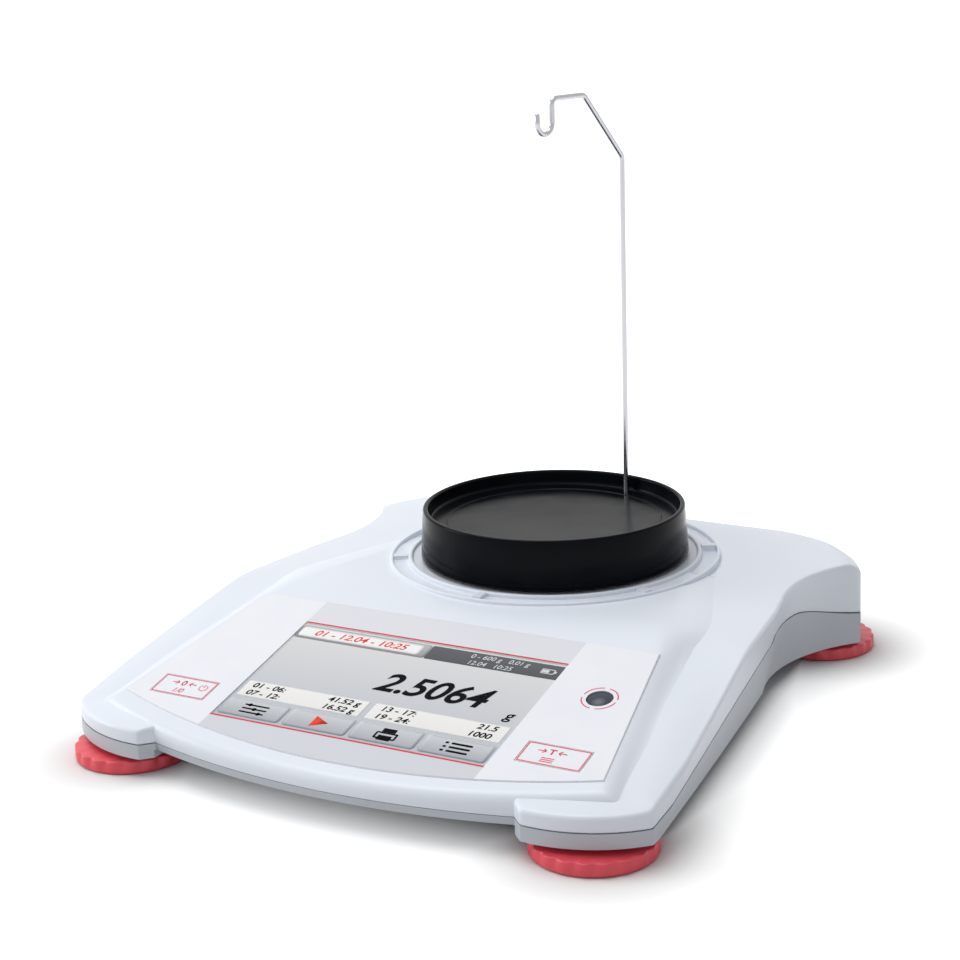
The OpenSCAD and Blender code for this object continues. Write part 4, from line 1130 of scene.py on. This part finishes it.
def seen_directly(tree):
    """1 for rays of the camera, of gloss and of glass, 0 for rays that carry light."""
    path_node = tree.nodes.new("ShaderNodeLightPath")
    direct = sums(tree, "MAXIMUM", path_node.outputs["Is Camera Ray"], path_node.outputs["Is Glossy Ray"])
    return sums(tree, "MAXIMUM", direct, path_node.outputs["Is Transmission Ray"])


def soft_light(name, place, target, size, power):
    """A round soft box that faces a point."""
    lamp = bpy.data.lights.new(name, "AREA")
    lamp.shape = "DISK"
    lamp.size = size
    lamp.energy = power
    toward = np.array(target) - np.array(place)
    toward /= np.linalg.norm(toward)
    side = np.cross(toward, (0, 1, 0))
    side /= np.linalg.norm(side)
    put(name, lamp).matrix_world = axes_pose(side, np.cross(side, toward), -toward, place)


middle = (0.0, 0.0, 0.03)
soft_light("key_light", (-0.5, 0.1, 1.62), middle, 1.3, 13.2)
soft_light("front_light", (-1.7, -0.6, 0.7), middle, 1.0, 10.2)

world = bpy.data.worlds.new("studio")
bpy.context.scene.world = world
world.use_nodes = True
sky = world.node_tree.nodes["Background"]
sky.inputs["Color"].default_value = (1.0, 1.0, 1.0, 1.0)
ambient, left_share = 0.45, 0.25
tree = world.node_tree
split = tree.nodes.new("ShaderNodeSeparateXYZ")
tree.links.new(tree.nodes.new("ShaderNodeTexCoord").outputs["Object"], split.inputs["Vector"])
soft = sums(tree, "MULTIPLY_ADD", split.outputs["X"], -ambient * left_share, ambient)
shown = sums(tree, "MULTIPLY", seen_directly(tree), sums(tree, "SUBTRACT", 1.0, soft))
tree.links.new(sums(tree, "ADD", soft, shown), sky.inputs["Strength"])

floor_half, floor_sink = 15000.0, 0.05
floor_line = np.linspace(-floor_half, floor_half, 3)
floor_x, floor_y = np.meshgrid(floor_line, floor_line)
floor_mat, tree, shader, place = new_finish("white_sweep")
feed(tree, shader, "Base Color", noise(tree, place, 3.0), 0.78, 0.8)
shader.inputs["Roughness"].default_value = 0.9
shader.inputs["Specular IOR Level"].default_value = 0.1
shader.inputs["Emission Color"].default_value = (1.0, 1.0, 1.0, 1.0)
split = tree.nodes.new("ShaderNodeSeparateXYZ")
tree.links.new(place, split.inputs["Vector"])
off_x, off_y = (sums(tree, "ABSOLUTE", split.outputs[axis]) for axis in "XY")


def outside_wheel(corner):
    """Distance of a floor point outside the wheels of one pair."""
    low, high = (np.array(c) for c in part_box("foot_knob_" + corner))
    centre = (low + high) / 2
    gap_x = sums(tree, "SUBTRACT", off_x, abs(float(centre[0])))
    gap_y = sums(tree, "SUBTRACT", split.outputs["Y"], float(centre[1]))
    square = sums(tree, "ADD", sums(tree, "POWER", gap_x, 2.0), sums(tree, "POWER", gap_y, 2.0))
    return sums(tree, "SUBTRACT", sums(tree, "SQRT", square), float(high[0] - low[0]) / 2)


# Painted shadow: the glow that lifts the floor fades to nothing in a band round the body's footprint and
# round the wheels, leaving a dark halo there.
front_half, waist_half, half_depth, contact = 0.1, 0.086, 0.111, 0.005
front_fade, wheel_fade, side_taper, side_middle = 0.22, 0.28, -0.125, 0.0911
fade_scale, fade_shift = 10.0, 0.2
narrowing = sums(tree, "MULTIPLY_ADD", split.outputs["Y"], side_taper, side_middle)
side_half = sums(tree, "MAXIMUM", sums(tree, "MINIMUM", narrowing, front_half), waist_half)
beside = sums(tree, "SUBTRACT", off_x, side_half)
before = sums(tree, "MULTIPLY", sums(tree, "SUBTRACT", off_y, half_depth), front_fade)
wheels = sums(tree, "MINIMUM", outside_wheel("front_right"), outside_wheel("rear_right"))
wheels = sums(tree, "MULTIPLY_ADD", wheels, wheel_fade, -contact)
reach_out = sums(tree, "MINIMUM", sums(tree, "MAXIMUM", beside, before), wheels)
away = sums(tree, "MULTIPLY_ADD", reach_out, fade_scale, fade_shift)
near_lift = spread(tree, away, 0.0, 0.42, (0.15, 0.21))
far_lift = spread(tree, away, 0.0, 0.58, (0.21, 0.4))
lift = sums(tree, "ADD", near_lift, far_lift)
tree.links.new(sums(tree, "MULTIPLY", seen_directly(tree), lift), shader.inputs["Emission Strength"])
floor_grid = np.stack([floor_x, floor_y, 0 * floor_x - floor_sink], axis=-1)
floor = lay_mesh("floor", [(floor_grid, False)], floor_mat)

bpy.context.scene.view_settings.view_transform = "Standard"
